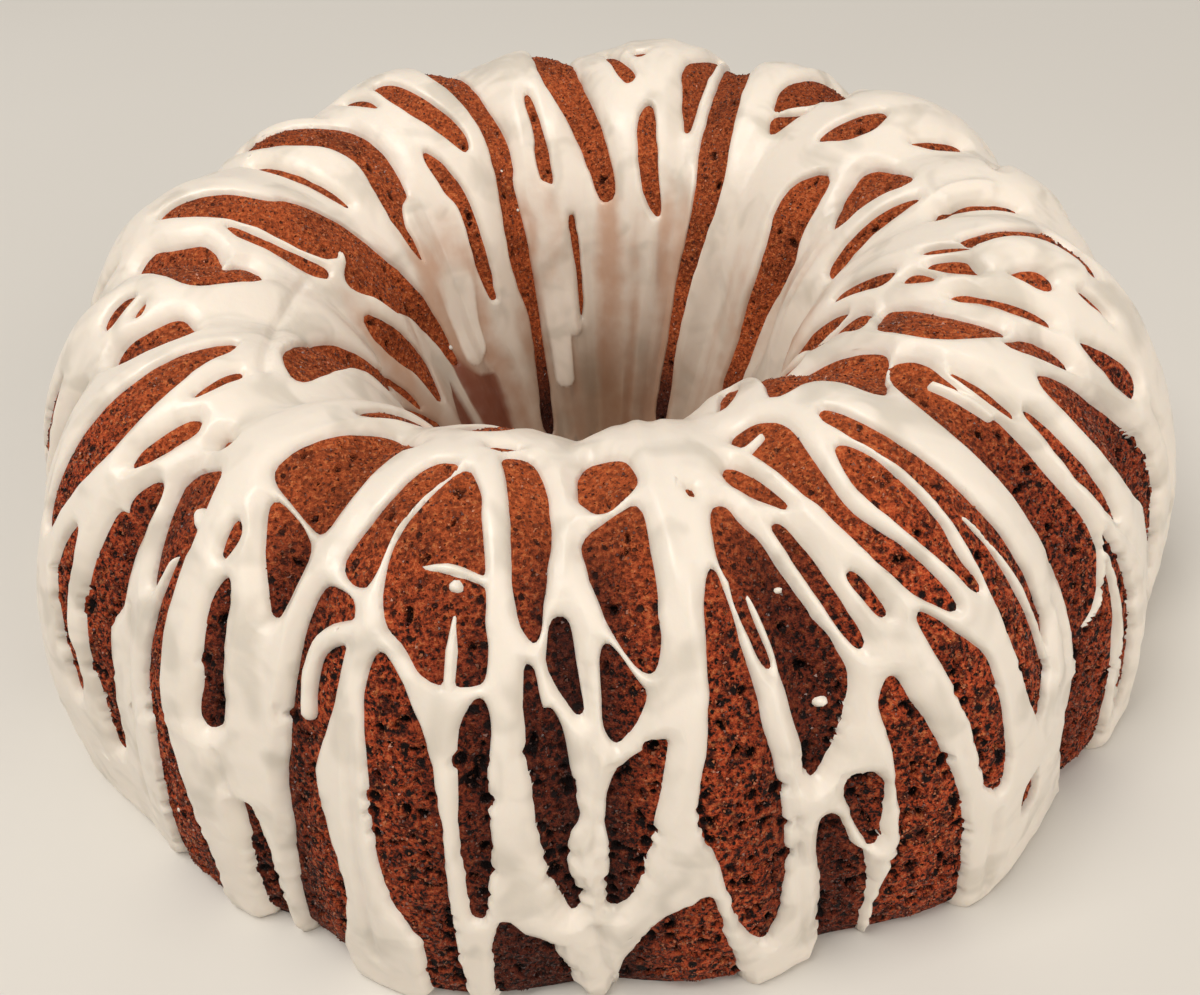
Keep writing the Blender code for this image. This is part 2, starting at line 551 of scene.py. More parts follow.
# Places that the icing missed, each an outline of (azimuth, run) corners that the icing rounds over.
# Those that go below run 0 are open at the plate.
FRONT_GAPS: tuple[Outline, ...] = (
    ((-36.6, 95.5), (-36.4, 101.5), (-35, 109), (-32, 116), (-29.3, 118.8), (-26, 115), (-22.3, 110.8),
     (-25.4, 110), (-26.4, 105), (-27.4, 95.5), (-28, 89), (-31.7, 92)),
    ((-34.7, 92.2), (-30.8, 89.7), (-28.6, 85.3), (-29.6, 76), (-30.2, 72.6), (-31, 76), (-33.6, 87)),
    ((-36.9, 86.3), (-35.7, 84), (-36.4, 78.5)),
    ((-35.1, 77.2), (-34.3, 70.5), (-34.2, 63.8), (-33.2, 51.8), (-34.7, 48.9), (-35.6, 52),
     (-35.2, 57.5), (-36, 66), (-36, 73)),
    ((-31.9, 35.5), (-31, 32.2), (-30.3, 22), (-30.3, 8), (-30.4, -4), (-31.9, -4), (-31.8, 20),
     (-31.5, 28)),
    ((-24.9, 81.3), (-21.7, 79.7), (-21.3, 77.6), (-21.8, 70.5), (-22.2, 64), (-23, 58), (-24.2, 51.5),
     (-23.8, 46), (-22.4, 36.5), (-21.8, 27), (-22.5, 18.8), (-23.7, 9), (-24, -4), (-28, -4),
     (-27.6, 13), (-26.9, 32), (-27.4, 44), (-26.7, 55), (-26.5, 72), (-25.8, 78)),
    ((-24.2, 84.5), (-22.2, 92), (-19.7, 102), (-18, 104.7), (-14.9, 104.4), (-17.8, 97), (-19.7, 91.3),
     (-20.1, 85), (-20.8, 81.8)),
    ((-14, 103.6), (-12.3, 100), (-11, 93), (-10.2, 84), (-9.6, 71), (-11, 69.8), (-14.2, 70.4),
     (-15.8, 74.7), (-18.5, 78.8), (-18.8, 87), (-18, 93), (-15.3, 101)),
    ((-18.5, 73.8), (-16.4, 70.5), (-14, 61), (-13.2, 50), (-13.1, 32), (-13.3, 14), (-13.1, -4),
     (-16, -4), (-15.5, 12), (-16, 22), (-17.7, 31), (-18.1, 41), (-18.4, 54), (-19.2, 66)),
    ((-10.1, 68.6), (-9.3, 64), (-9.8, 54), (-9.7, 41), (-10.7, 27), (-11.3, 27), (-11.6, 45),
     (-11.5, 63)),
    ((-9.4, 26.6), (-8.7, 23.4), (-6.6, 19), (-5, 7), (-4.6, -4), (-11, -4), (-10.3, 18)),
    ((-11, 108.6), (-7.8, 110.7), (-5.6, 104), (-4.7, 93.5), (-5.3, 84), (-5.7, 75.2), (-7.2, 80.5),
     (-8.2, 95), (-9.6, 105)),
    ((-4.4, 80), (-3.1, 79.8), (-2.6, 71), (-2.2, 65), (-2.8, 64), (-4.9, 73)),
    ((-6.7, 73.2), (-6, 72), (-5.6, 64.8), (-4.8, 65.6), (-3.9, 61), (-3.5, 49), (-3.2, 45.2),
     (-4.3, 42), (-4.6, 35), (-3.7, 29), (-4.1, 24.5), (-5.6, 36), (-6.4, 53)),
    ((-13.8, 110.8), (-9, 113.4), (-11.4, 109.6)),
    ((-1.8, 107.5), (-0.8, 111), (1.6, 110.3), (3.8, 108.4), (4.8, 103.5), (4, 99.8), (0.6, 96.9),
     (-1.4, 101)),
    ((-1.6, 93.4), (2, 96), (4.5, 97.6), (4.6, 86), (4.3, 74), (3.3, 69.9), (0.8, 77), (-0.6, 85)),
    ((0, 76.6), (2, 70), (3, 67.3), (0.3, 58.8), (-0.6, 62), (-0.4, 72)),
    ((4, 60.6), (1.6, 57), (-0.1, 53.5), (-0.9, 48.5), (-0.8, 38), (-1.3, 27), (-0.8, 25.8), (1.1, 32),
     (2.4, 46), (3.7, 57)),
    ((6.2, 29.6), (4.7, 27), (2.4, 23), (0.1, 13.5), (-1, 4), (-1.2, -4), (8.8, -4), (7.4, 14),
     (6.7, 22)),
    ((10, 86), (10.6, 76), (11.4, 60), (12.2, 46), (12.2, 30), (11.5, 18), (10.2, 12), (8.4, 20),
     (7.3, 35), (5.8, 45.4), (7.3, 59), (8.4, 74), (8.7, 80.5)),
    ((11.5, 94.5), (13.1, 95), (13.9, 90.8), (15.1, 88), (15.8, 82.5), (16.9, 76), (18.2, 70),
     (19.2, 64), (18, 54.5), (15.3, 44.3), (14.9, 52), (14.2, 64), (13.7, 73), (12.9, 79),
     (12.3, 81), (11.2, 82), (10.7, 87)),
    ((11.2, 84), (11.9, 84), (12.2, 77), (13.2, 66.8), (12.3, 70), (11.4, 77.5)),
    ((16.9, 90), (17.9, 89), (19.6, 77), (20.9, 67.6), (20.4, 66.4), (18.9, 75), (17.6, 84)),
    ((14.2, 101), (15.7, 104.4), (17, 100.5), (19.1, 90.8), (17.4, 94.5)),
    ((21.2, 78.4), (21.9, 77.8), (23.1, 70.8), (22.6, 70.6)),
    ((17.9, 110.6), (21.5, 109.8), (23.5, 105), (22.9, 96), (23, 86.5), (25.8, 79.5), (28.2, 71),
     (28.7, 66.4), (25.4, 72.8), (23, 83), (20.6, 94.5), (18.8, 105)),
    ((25.7, 97.2), (28, 91.6), (30, 81), (30.4, 73), (31.4, 68.6), (31.1, 67.6), (28.6, 76), (25.9, 86),
     (25, 91)),
    ((26.8, 99.3), (27.2, 102.6), (28.2, 102.5), (32, 90), (35.8, 75.5), (37.6, 66), (38.6, 55),
     (38.3, 50.5), (36.8, 43), (35.4, 37.8), (34.2, 44), (32.4, 66), (31.9, 78), (29.9, 90)),
    ((25.2, 69.2), (26.2, 67.6), (28.3, 62.2), (30, 57.5), (30.7, 45), (30.3, 30.6), (28.5, 34),
     (27.9, 45), (26.9, 56)),
    ((22.2, 61.4), (20.9, 57), (21.7, 49), (21.7, 36), (21.8, 26), (20.1, 14.5), (19.7, -4), (27, -4),
     (26.8, 14), (26.3, 32), (25, 44.5), (23, 57)),
    ((17.7, 43.2), (20.5, 44.2), (20.2, 34), (19.5, 26.8), (18.4, 34)),
    ((15.6, 36.2), (16.9, 36.8), (17.9, 28.5), (18.9, 26.5), (19, 14), (18.6, 6), (19.3, -4), (16, -4),
     (15.4, 12), (15.7, 22), (15.3, 31)),
    ((9.6, 98.6), (10.2, 98.3), (10, 97)),
    ((33, 25.5), (34.6, 27), (35, 20), (33.2, 18)),
)
LEFT_GAPS: tuple[Outline, ...] = (
    ((-76.3, 103), (-73.8, 105), (-70, 105.2), (-68.4, 101), (-68.8, 91), (-73.8, 84.6), (-75.4, 88.5),
     (-75.8, 96)),
    ((-63.5, 111.3), (-60.3, 108.8), (-59.3, 104), (-57.2, 96.5), (-56.6, 83), (-58.4, 73.5),
     (-60.4, 61), (-61.2, 58.8), (-62.6, 63), (-63, 76), (-62.2, 92)),
    ((-56.1, 108.6), (-54.7, 107.5), (-54.7, 98), (-55.2, 102)),
    ((-51.7, 97), (-50.8, 94.5), (-52, 87), (-53.9, 81.2), (-53.6, 87), (-52.6, 95)),
    ((-50, 84), (-49.1, 80), (-49.4, 66), (-49.2, 57.5), (-50.6, 53.5), (-50.2, 45), (-49.9, 33),
     (-49.2, 26.5), (-50.2, 20.6), (-51, 21.5), (-51.5, 33), (-53.3, 45), (-53.5, 56), (-52.8, 72),
     (-52.3, 74.4), (-51.2, 73.6), (-51.9, 77.6)),
    ((-47.6, 98.4), (-45.5, 97), (-46.7, 95.8)),
    ((-47.8, 87.5), (-44, 92), (-42, 90.3), (-40.7, 81), (-40.6, 77), (-43.1, 75), (-43.6, 70),
     (-44.7, 66), (-45.9, 74)),
    ((-41.5, 78.5), (-40.7, 77), (-40.9, 60), (-40.2, 49), (-38, 38), (-36.8, 24), (-36.1, 13),
     (-36.8, 4), (-38, -4), (-43.6, -4), (-42, 12), (-41.2, 25), (-41.6, 43.5), (-43.2, 48), (-43, 60),
     (-41.9, 72)),
    ((-56.2, 67), (-55.9, 58), (-56, 46.5), (-54.6, 40.5), (-54.1, 34), (-54.8, 28.3), (-55.6, 37),
     (-57.8, 51), (-58.3, 55), (-57, 64)),
    ((-95.5, 104), (-93, 108.8), (-88, 110.3), (-91.8, 114.5), (-89, 119), (-85, 118), (-83.2, 113.5),
     (-81.2, 106), (-84.5, 101), (-89, 94.5), (-92.8, 85.8), (-95.7, 90.5), (-94.8, 98)),
    ((-82, 94.2), (-80.8, 92), (-79.1, 86.8), (-80.4, 85.6), (-82.6, 90.5)),
    ((-80.6, 96.2), (-78.6, 94.8), (-78.7, 92.8)),
    ((-101.3, 90.4), (-100.4, 96), (-100.8, 114), (-100, 121), (-100.9, 128), (-103.5, 131),
     (-107, 130.3), (-105.2, 133.6), (-99.4, 136), (-104, 143), (-107, 148.5), (-118, 155),
     (-122.5, 164), (-124.2, 172), (-126, 173), (-125.8, 163), (-124, 155), (-119.4, 140), (-115, 126),
     (-110.5, 115.5), (-107.2, 113), (-105.5, 103)),
    ((-107, 175.6), (-105, 174), (-104.5, 168.5), (-102.6, 162.5), (-98, 154.5), (-96.6, 148.5),
     (-97.7, 143), (-104, 152.5), (-113, 166.5), (-110, 172)),
    ((-99.7, 131.3), (-98, 132), (-96.3, 127), (-97.2, 119), (-97.7, 112), (-99.4, 107.3),
     (-98.6, 115), (-98.4, 124)),
    ((-121.4, 127), (-120.4, 119), (-119.4, 104), (-119.9, 95), (-120.6, 109)),
    ((-98, 174), (-95, 163.5), (-91, 159), (-85, 158), (-78, 152.5), (-72, 145), (-63, 136),
     (-56, 127), (-52.6, 119.5), (-53.4, 117.4), (-59, 118.3), (-64, 123.5), (-71, 129.8),
     (-75.5, 133), (-79.5, 143), (-83, 151.5), (-91.5, 156.8), (-96.5, 164.5)),
    ((-100, 181), (-95, 177.5), (-88, 173), (-82, 166.5), (-80, 161), (-83, 163.3), (-89, 167),
     (-95, 170.5)),
)
BACK_GAPS: tuple[Outline, ...] = (
    ((-135.6, 142.8), (-129, 147), (-127, 139), (-127.6, 129.5), (-130.7, 120), (-129.7, 112.5),
     (-126, 104.5), (-123.7, 94), (-124.8, 82), (-126, 80), (-130, 92.5), (-135.5, 101),
     (-137.6, 107), (-137.8, 122), (-134.8, 133)),
    ((168, 142), (172.5, 143.6), (175, 137), (180, 122.5), (184.5, 110.5), (185.4, 98), (185, 80),
     (183.5, 58), (181.5, 50), (180, 60), (179.7, 90), (177.5, 110), (173.5, 124)),
    ((-178.3, 174.3), (-176.8, 170), (-176.6, 158), (-177.8, 145.5), (-179.2, 149), (-179.4, 165)),
    ((-172.8, 150.6), (-171, 150.5), (-170.5, 146.5), (-171.7, 141), (-170.8, 132), (-171.8, 125),
     (-171.1, 114.3), (-172, 114.3), (-174.2, 134), (-172.9, 142)),
    ((-152.8, 198.5), (-156.2, 191), (-159, 179), (-160.6, 171), (-158.5, 163), (-157.2, 155),
     (-158.3, 143), (-160.3, 130), (-160.2, 119.5), (-157.5, 108), (-155.1, 99.5), (-156, 84),
     (-157.5, 70), (-160, 72), (-161.3, 88), (-162, 106), (-165, 129.5), (-162.8, 138),
     (-164.2, 156), (-163.3, 168), (-162, 184), (-158.5, 201), (-155, 203)),
    ((-155, 125.5), (-153, 126.6), (-149.5, 119), (-146.3, 109.5), (-146, 97.4), (-148, 98.5),
     (-151.2, 110.5), (-155.3, 121.5)),
    ((-148.6, 162.2), (-147, 162.2), (-145.3, 151), (-145, 134), (-144.1, 125), (-145, 122.7),
     (-148.7, 134), (-148.8, 146)),
    ((-143.7, 106.7), (-142.2, 99), (-141.9, 90), (-143.4, 98)),
    ((134.2, 119.8), (136.2, 114.8), (133.5, 111.5), (131.2, 107.3), (133, 112)),
    ((136.6, 113.6), (138.5, 105), (137.4, 95), (136.8, 84), (134, 76), (132, 84), (130.5, 96),
     (126, 102.5), (132, 103.4), (134.8, 108)),
    ((142.6, 201), (147.6, 200), (148, 186), (147.4, 177), (148.3, 164), (145.8, 153), (145, 142),
     (148.2, 128), (149.9, 114.5), (152.8, 91), (154.5, 72), (153, 62), (151, 70), (148.2, 94),
     (144.8, 112), (140.6, 128), (138.5, 138), (140, 151), (143.4, 164), (144.3, 180), (142, 192)),
    ((156, 146.7), (160.6, 140), (164.1, 124.5), (162.2, 119.3), (160.8, 121), (155.7, 144)),
    ((152.9, 124.8), (155, 118), (158.3, 104.6), (155.6, 95), (155, 84), (154.2, 97), (152.7, 120)),
    ((166.3, 111), (167.4, 113.6), (170.3, 108), (173.4, 95), (172.3, 98), (169, 106)),
    ((165.1, 101.5), (166, 104.3), (167.9, 101.6)),
)
RIGHT_GAPS: tuple[Outline, ...] = (
    ((38.7, 95), (39.5, 101), (42.5, 106.5), (44.8, 108.6), (46.2, 105), (45.4, 98), (45, 92),
     (45.3, 85), (46.1, 73), (47.6, 63), (48.4, 51), (48.9, 43), (48.6, 32), (48.2, 20), (48.5, -4),
     (44.5, -4), (42.9, 10), (40.4, 24), (42.5, 31), (44.2, 34.5), (43.7, 39), (43.9, 48), (43.3, 58),
     (42.6, 69), (41, 80), (39.4, 90)),
    ((46.5, 99.5), (46.8, 93), (47, 83.8), (46.3, 90)),
    ((48.2, 86), (49.5, 75), (51, 65), (52, 54.5), (50.4, 62), (48.8, 69.5), (48.2, 78)),
    ((49, 58.5), (50.3, 50), (51.5, 40), (52, 26), (51.8, 9), (50.5, 8), (50.3, 24), (50.2, 38),
     (49.7, 50)),
    ((52, 84), (53.2, 86.3), (55.2, 84), (60, 73.5), (62.5, 64), (65.2, 51.5), (65.9, 45), (65.4, 33),
     (64.7, 19), (63.8, 19), (63.9, 34), (62.6, 43), (61, 49), (57, 56.5), (54.3, 66), (52.4, 78)),
    ((53.5, 95.2), (60, 91), (61.3, 84), (61.2, 78.8), (58.3, 84.3)),
    ((51, 115.7), (56, 118), (62.2, 121), (60.8, 113), (58, 105.5), (58, 99), (58.4, 94.8), (55.3, 96),
     (51.3, 101), (50, 107)),
    ((51.4, 119.2), (57, 121.8), (63, 124.2), (63, 131), (59, 138), (53, 133), (49.5, 128.5),
     (53.3, 123.6)),
    ((63.1, 107.7), (63.8, 106), (64.2, 89), (63.8, 87), (63.1, 95)),
    ((64.4, 81.6), (66, 76), (68.2, 65.2), (66.3, 62), (64.8, 70)),
    ((68.1, 98.7), (69.6, 99.5), (69.8, 93), (68.6, 89.7), (67.4, 91.5)),
    ((67.4, 109), (69.3, 113.2), (69.3, 105.5), (67.1, 101.8)),
    ((66.8, 117.2), (68.3, 115.2), (66.3, 110)),
    ((67.6, 121.3), (69, 127), (70.3, 133), (71.6, 130.5), (70.5, 122), (69.5, 118.4)),
    ((71.4, 112.7), (72.4, 113.6), (72, 107), (71.4, 104.8), (71.1, 109)),
    ((72, 103.4), (73.2, 107.5), (76, 101.5), (79, 93.5), (82.5, 88), (80, 82.5), (73.2, 80.8),
     (74.4, 87), (74.6, 94), (73.8, 99.5)),
    ((69.6, 85.2), (70.2, 84.5), (69.5, 74.5)),
    ((88.2, 136), (91, 137.4), (92.6, 130), (94.2, 121), (93, 110.3), (91.6, 119), (90.3, 128)),
    ((98.8, 131), (104, 128.6), (106.6, 125), (108.8, 116), (105.5, 111), (97, 110.6), (98.8, 120)),
    ((84.8, 110.5), (88.7, 110.6), (89.9, 104), (89.8, 90), (88.7, 92), (88.3, 101), (87.8, 109.2)),
    ((109.3, 181.5), (115.5, 184.5), (115.7, 171), (117, 162), (115.3, 147), (120, 131.5),
     (112.4, 120.8), (109.5, 138), (107, 146.5), (110.8, 161), (110.7, 172)),
    ((122, 118.4), (120.2, 109), (117, 101.3), (115, 109), (116.5, 114.5)),
    ((110.1, 103.6), (109.4, 98), (109, 87), (107.4, 93), (108.3, 100)),
    ((95.8, 93.2), (99.5, 92.8), (104.2, 84), (101, 88.8)),
)
INNER_GAPS: tuple[Outline, ...] = (
    ((-20.8, 119.8), (-15.8, 114.6), (-13, 119), (-11.7, 127), (-12.8, 137), (-16.5, 134)),
    ((-37.1, 114.8), (-33.4, 125), (-31.6, 131), (-34.5, 138), (-39.2, 131)),
    ((25, 110.8), (31, 110.8), (33.8, 107.5), (35, 101), (38.3, 103.2), (41.5, 108), (45.9, 110.3),
     (46.2, 115), (44.5, 123), (41.5, 131), (37.5, 135), (33, 128), (28, 117.5)),
    ((20, 119.6), (23.8, 121), (29, 129), (26.6, 131)),
)


# Places that only a veil of icing covers, so that the crust shows through.
VEILS: tuple[Outline, ...] = (
    ((-141, 181), (-137, 206), (-124, 206), (-122, 178), (-123.5, 168), (-127, 172), (-131, 178),
     (-136.5, 180)),
    ((-120.5, 206), (-110, 206), (-106, 188), (-111, 181.5), (-117.5, 178), (-120, 173.5)),
)


class RunShape(Enum):
    """How a run of icing changes from its start to its end."""

    EVEN = "even"
    POINTED = "pointed"  # starts thin
    FANNED = "fanned"  # starts broad and flat, then narrows and stands up toward its end

    def spread(self, along: np.ndarray) -> np.ndarray:
        """Return the run's width, as a share of its given width.

        Args:
            along: The share of the run's length.

        Returns:
            The share of the width.
        """
        if self is RunShape.POINTED:
            return np.clip(0.35 + 1.8 * along, 0.0, 1.0)
        if self is RunShape.FANNED:
            return 1.9 - 0.9 * along
        return np.ones_like(along)

    def stand(self, along: np.ndarray) -> np.ndarray:
        """Return how far the run stands up, as a share of its given lift.

        Args:
            along: The share of the run's length.

        Returns:
            The share of the lift.
        """
        return smoothstep(0.0, 0.85, along) if self is RunShape.FANNED else np.ones_like(along)


@dataclass(frozen=True)
class Thread:
    """A thin run of icing, or a drip, laid over a gap or over the coat."""

    path: Outline
    width: float  # millimetres
    lift: float = 0.0  # millimetres that its crown stands over the coat
    shape: RunShape = RunShape.EVEN


THREADS: tuple[Thread, ...] = (
    Thread(((-20.8, 75.6), (-23.2, 74.2), (-24.7, 71), (-25.1, 65.5), (-24.9, 60.3)), 3.6, 0.5),
    Thread(((-15.8, 86.2), (-13, 86.8), (-10, 85.2)), 1.4, shape=RunShape.POINTED),
    Thread(((-12.3, 79.8), (-12.3, 74), (-12.4, 69)), 1.6, shape=RunShape.POINTED),
    Thread(((-12.6, 84), (-12.3, 84)), 1.6),
    Thread(((-41.5, 83.6), (-40.8, 82.6)), 2.8, 0.3),
    Thread(((16.8, 105), (18.8, 105.2), (20.6, 105.8)), 1.8),
    Thread(((33, 78.3), (34.7, 71), (36.1, 63), (37, 55), (37.6, 47)), 1.8, shape=RunShape.POINTED),
    Thread(((45.2, 41.6), (46.6, 43.2), (47.4, 46), (48, 50), (48.7, 55)), 1.3, shape=RunShape.POINTED),
    Thread(((44.1, 99.4), (44.6, 95), (45.1, 88)), 1.6),
    Thread(((15.4, 79.2), (15.7, 79.1)), 1.3),
    Thread(((16.7, 59), (17, 59)), 1.8),
    Thread(((-16.4, 19), (-16.5, 11.5)), 3.2, 0.3),
    Thread(((69.8, 101), (71.5, 98), (72.6, 93), (71.8, 88)), 8.0, 0.9),
    Thread(((90.6, 107), (91.4, 103), (91.4, 98)), 4.5, 0.7),
    Thread(((-137.5, 138), (-137, 150), (-135.8, 161), (-134.8, 172.5)), 8.0, 0.9, RunShape.FANNED),
    Thread(((-170, 142), (-170, 160), (-169.8, 175), (-168.8, 188.5)), 5.2, 0.9, RunShape.FANNED),
    Thread(((-172.5, 152), (-174.3, 166), (-175.2, 175.5)), 4.4, 0.8, RunShape.FANNED),
)

# Valleys where two runs of icing lie side by side without melting into one.
CREASES: tuple[Outline, ...] = (
    ((-2.6, 22), (-2.2, 14), (-1.7, 6), (-1.5, 0)),
    ((50.6, 60), (51.6, 55), (53.6, 46)),
    ((49.2, 31), (49.3, 22), (49.9, 10)),
    ((-33.6, 46), (-32.6, 38)),
    ((-20.2, 62), (-19.9, 45), (-19.7, 28), (-19.9, 12)),
    ((-47.5, 60), (-46.2, 48), (-45.4, 30), (-45.6, 12)),
    ((13.6, 40), (13.3, 25), (13.6, 8)),
    ((29.4, 27), (29.2, 14), (29.8, 4)),
    ((67.9, 58), (69, 45), (69.4, 30), (69.6, 12)),
    ((-93, 128), (-80, 125), (-66, 119), (-55, 112.5)),
    ((40.4, 56), (41.2, 50), (41, 42)),
    ((-1.6, 72), (-1.8, 58), (-2, 40)),
)


@dataclass(frozen=True)
class DripBays:
    """A stretch of wall that isn't laid out by hand: one gap between drips in each bay, by seed."""

    start: float
    end: float
    pitch: float  # degrees for each bay
    widths: tuple[float, float]  # degrees
    tops: tuple[float, float]  # millimetres of run
    feet: tuple[float, float]  # millimetres of run
    plate_share: float  # how many gaps are open at the plate
    seed: int

    def gaps(self) -> list[Outline]:
        """Return a spindle-shaped gap for each bay, no two alike.

        Returns:
            The gaps' outlines.
        """
        chance = random.Random(self.seed)
        outlines = []
        for bay in range(int((self.end - self.start) / self.pitch)):
            middle = self.start + (bay + 0.5 + chance.uniform(-0.22, 0.22)) * self.pitch
            width, lean = chance.uniform(*self.widths), chance.uniform(-1.6, 1.6)
            top = chance.uniform(*self.tops)
            foot = -4.0 if chance.random() < self.plate_share else chance.uniform(*self.feet)
            for side in (1, -1):
                rows = (0.06, 0.3, 0.55, 0.8, 0.97) if side > 0 else (0.94, 0.7, 0.45, 0.2)
                edge = []
                for share in rows:
                    swell = math.sin(math.pi * share) ** 0.55 if foot > 0 else math.sqrt(1.0 - 0.9 * share)
                    bulge = 0.5 * width * swell * chance.uniform(0.75, 1.2)
                    edge.append((middle + lean * share + side * bulge, foot + (top - foot) * share))
                if side > 0:
                    outline = edge + [(middle + lean, top)]
                else:
                    outline = outline + edge + [(middle, foot)]
            outlines.append(tuple(outline))
        return outlines


BACK_WALL = DripBays(75.0, 299.0, 8.0, (2.4, 6.4), (58.0, 84.0), (5.0, 26.0), 0.3, 11)
HOLE_WALL = DripBays(-50.0, 86.0, 15.0, (3.0, 9.0), (168.0, 196.0), (128.0, 152.0), 0.0, 5)


@dataclass
class Drizzle:
    """The icing's run over the cake: how far each place is inside the icing's edge, and how thick it is."""

    form: CakeForm
    thickness: float = 1.5 * MM
    glaze_thickness: float = 0.45 * MM
    edge_roll: float = 1.6  # millimetres from the edge to the full thickness
    shrink: float = 0.42  # millimetres that the set icing draws back from each gap
    melt: float = 0.8  # millimetres over which a thread melts into what it joins
    wobble: float = 0.2  # millimetres that the edges stray everywhere
    nibble: float = 0.3  # millimetres that the lower edges are ragged
    search: float = 9.0  # millimetres round each gap that it still bears on
    pore_radii: tuple[float, float] = (0.6, 1.5)  # millimetres, of pores that notch the icing's edge
    pore_share: float = 0.85  # how many places along a low edge hold a pore
    sound_width: float = 1.7  # millimetres inside a run's edge that its middle must lie to be notched
    whole_foot: float = 3.0  # millimetres of run that stay whole above the plate
    pore_offsets: tuple[float, float] = (-1.1, -0.2)  # millimetres from the edge to a pore's middle
    pore_spacing: float = 2.7  # millimetres
    pore_search: float = 2.6  # millimetres
    pore_bowl: float = 0.7 * MM
    pore_seed: int = 29
    veil_edge: float = 1.2  # millimetres over which a veil fades in, to each side of its outline
    rope_height: float = 0.45 * MM
    dimple_height: float = 0.2 * MM
    foot_height: float = 0.9 * MM
    pool_share: float = 0.2  # how much of a groove the icing fills
    crease_depth: float = 0.8 * MM
    crease_width: float = 1.1  # millimetres
    crease_floor: float = 1.2 * MM  # icing thinner than this isn't creased
    sink_depth: float = 1.4 * MM
    glaze_share: float = 0.9  # how far the icing thins to a glaze between the streaks in the hole
    far_azimuth: float = 174.0  # the side of the hole with the deepest painted shade
    far_reach: float = 30.0  # degrees
    icing_hole_shade_shares: tuple[float, float] = (0.62, 0.38)  # painted shade round the whole foot of the hole, and more on the far side
    edge: np.ndarray = field(init=False, repr=False)
    whole_edge: np.ndarray = field(init=False, repr=False)
    crown: np.ndarray = field(init=False, repr=False)
    notch: np.ndarray = field(init=False, repr=False)
    richness: np.ndarray = field(init=False, repr=False)
    veil: np.ndarray = field(init=False, repr=False)
    # painted shade deep in the hole
    icing_hole_shade: np.ndarray = field(init=False, repr=False)
    height: np.ndarray = field(init=False, repr=False)

    def __post_init__(self) -> None:
        """Lay the coat, the threads and the creases on the form's grid."""
        self.edge = self._edges()
        self.height = self._heights()

    def _patch(self, path: Outline, search: float) -> tuple[Any, tuple[np.ndarray, ...]]:
        """Pick the grid places round a path.

        Args:
            path: The path's (azimuth, run) points.
            search: Millimetres round the path.

        Returns:
            The row and column indices, and each place's azimuth, run and millimetres for a degree.
        """
        points, runs = np.array(path), self.form.runs[:, 0]
        rows = np.nonzero((runs > points[:, 1].min() - search) & (runs < points[:, 1].max() + search))[0]
        per_degree = self.form.radius_at(runs[rows]) / MM * math.radians(1.0)
        margin = search / per_degree.min()
        step = 360.0 / self.form.columns
        first = math.floor((points[:, 0].min() - margin + 180.0) / step)
        last = math.ceil((points[:, 0].max() + margin + 180.0) / step)
        columns = np.arange(first, last + 1)
        azimuth, run = np.meshgrid(columns * step - 180.0, runs[rows])
        index = np.ix_(rows, columns % self.form.columns)
        return index, (azimuth, run, per_degree[:, None])

    @staticmethod
    def _rounded(corners: Outline, closed: bool, rounds: int = 2) -> np.ndarray:
        """Cut a path's corners again and again until it is smooth.

        Args:
            corners: The path's (azimuth, run) corners.
            closed: Whether the last corner joins the first.
            rounds: How often the corners are cut.

        Returns:
            The smooth path's points.
        """
        points = np.array(corners, dtype=float)
        for _ in range(rounds):
            after = np.roll(points, -1, axis=0)
            near, far = 0.78 * points + 0.22 * after, 0.22 * points + 0.78 * after
            cut = np.stack((near, far), 1).reshape(-1, 2)
            points = cut if closed else np.concatenate((points[:1], cut[1:-3], points[-1:]))
        return points

    def _near(self, corners: Outline, closed: bool) -> tuple[Any, np.ndarray, np.ndarray]:
        """Measure from the places round a path to it.

        Args:
            corners: The path's (azimuth, run) corners.
            closed: Whether the path is an outline.

        Returns:
            The places' row and column indices, their millimetres from the path, which are below zero
            inside an outline, and the share along the path of its nearest point.
        """
        index, (azimuth, run, per_degree) = self._patch(corners, self.search)
        path = self._rounded(corners, closed)
        nearest = np.full(azimuth.shape, 1e6)
        along = np.zeros(azimuth.shape)
        inside = np.zeros(azimuth.shape, dtype=bool)
        ends = np.roll(path, -1, axis=0) if closed else path[1:]
        for step, (start, end) in enumerate(zip(path, ends)):
            dx, dy = (end[0] - start[0]) * per_degree, end[1] - start[1]
            px, py = (azimuth - start[0]) * per_degree, run - start[1]
            share = np.clip((px * dx + py * dy) / (dx * dx + dy * dy + 1e-9), 0.0, 1.0)
            distance = np.hypot(px - share * dx, py - share * dy)
            along = np.where(distance < nearest, (step + share) / len(ends), along)
            nearest = np.minimum(nearest, distance)
            if closed and dy:
                crosses = (start[1] > run) != (end[1] > run)
                inside ^= crosses & (azimuth < start[0] + (run - start[1]) * (end[0] - start[0]) / dy)
        return index, np.where(inside, -nearest, nearest), along

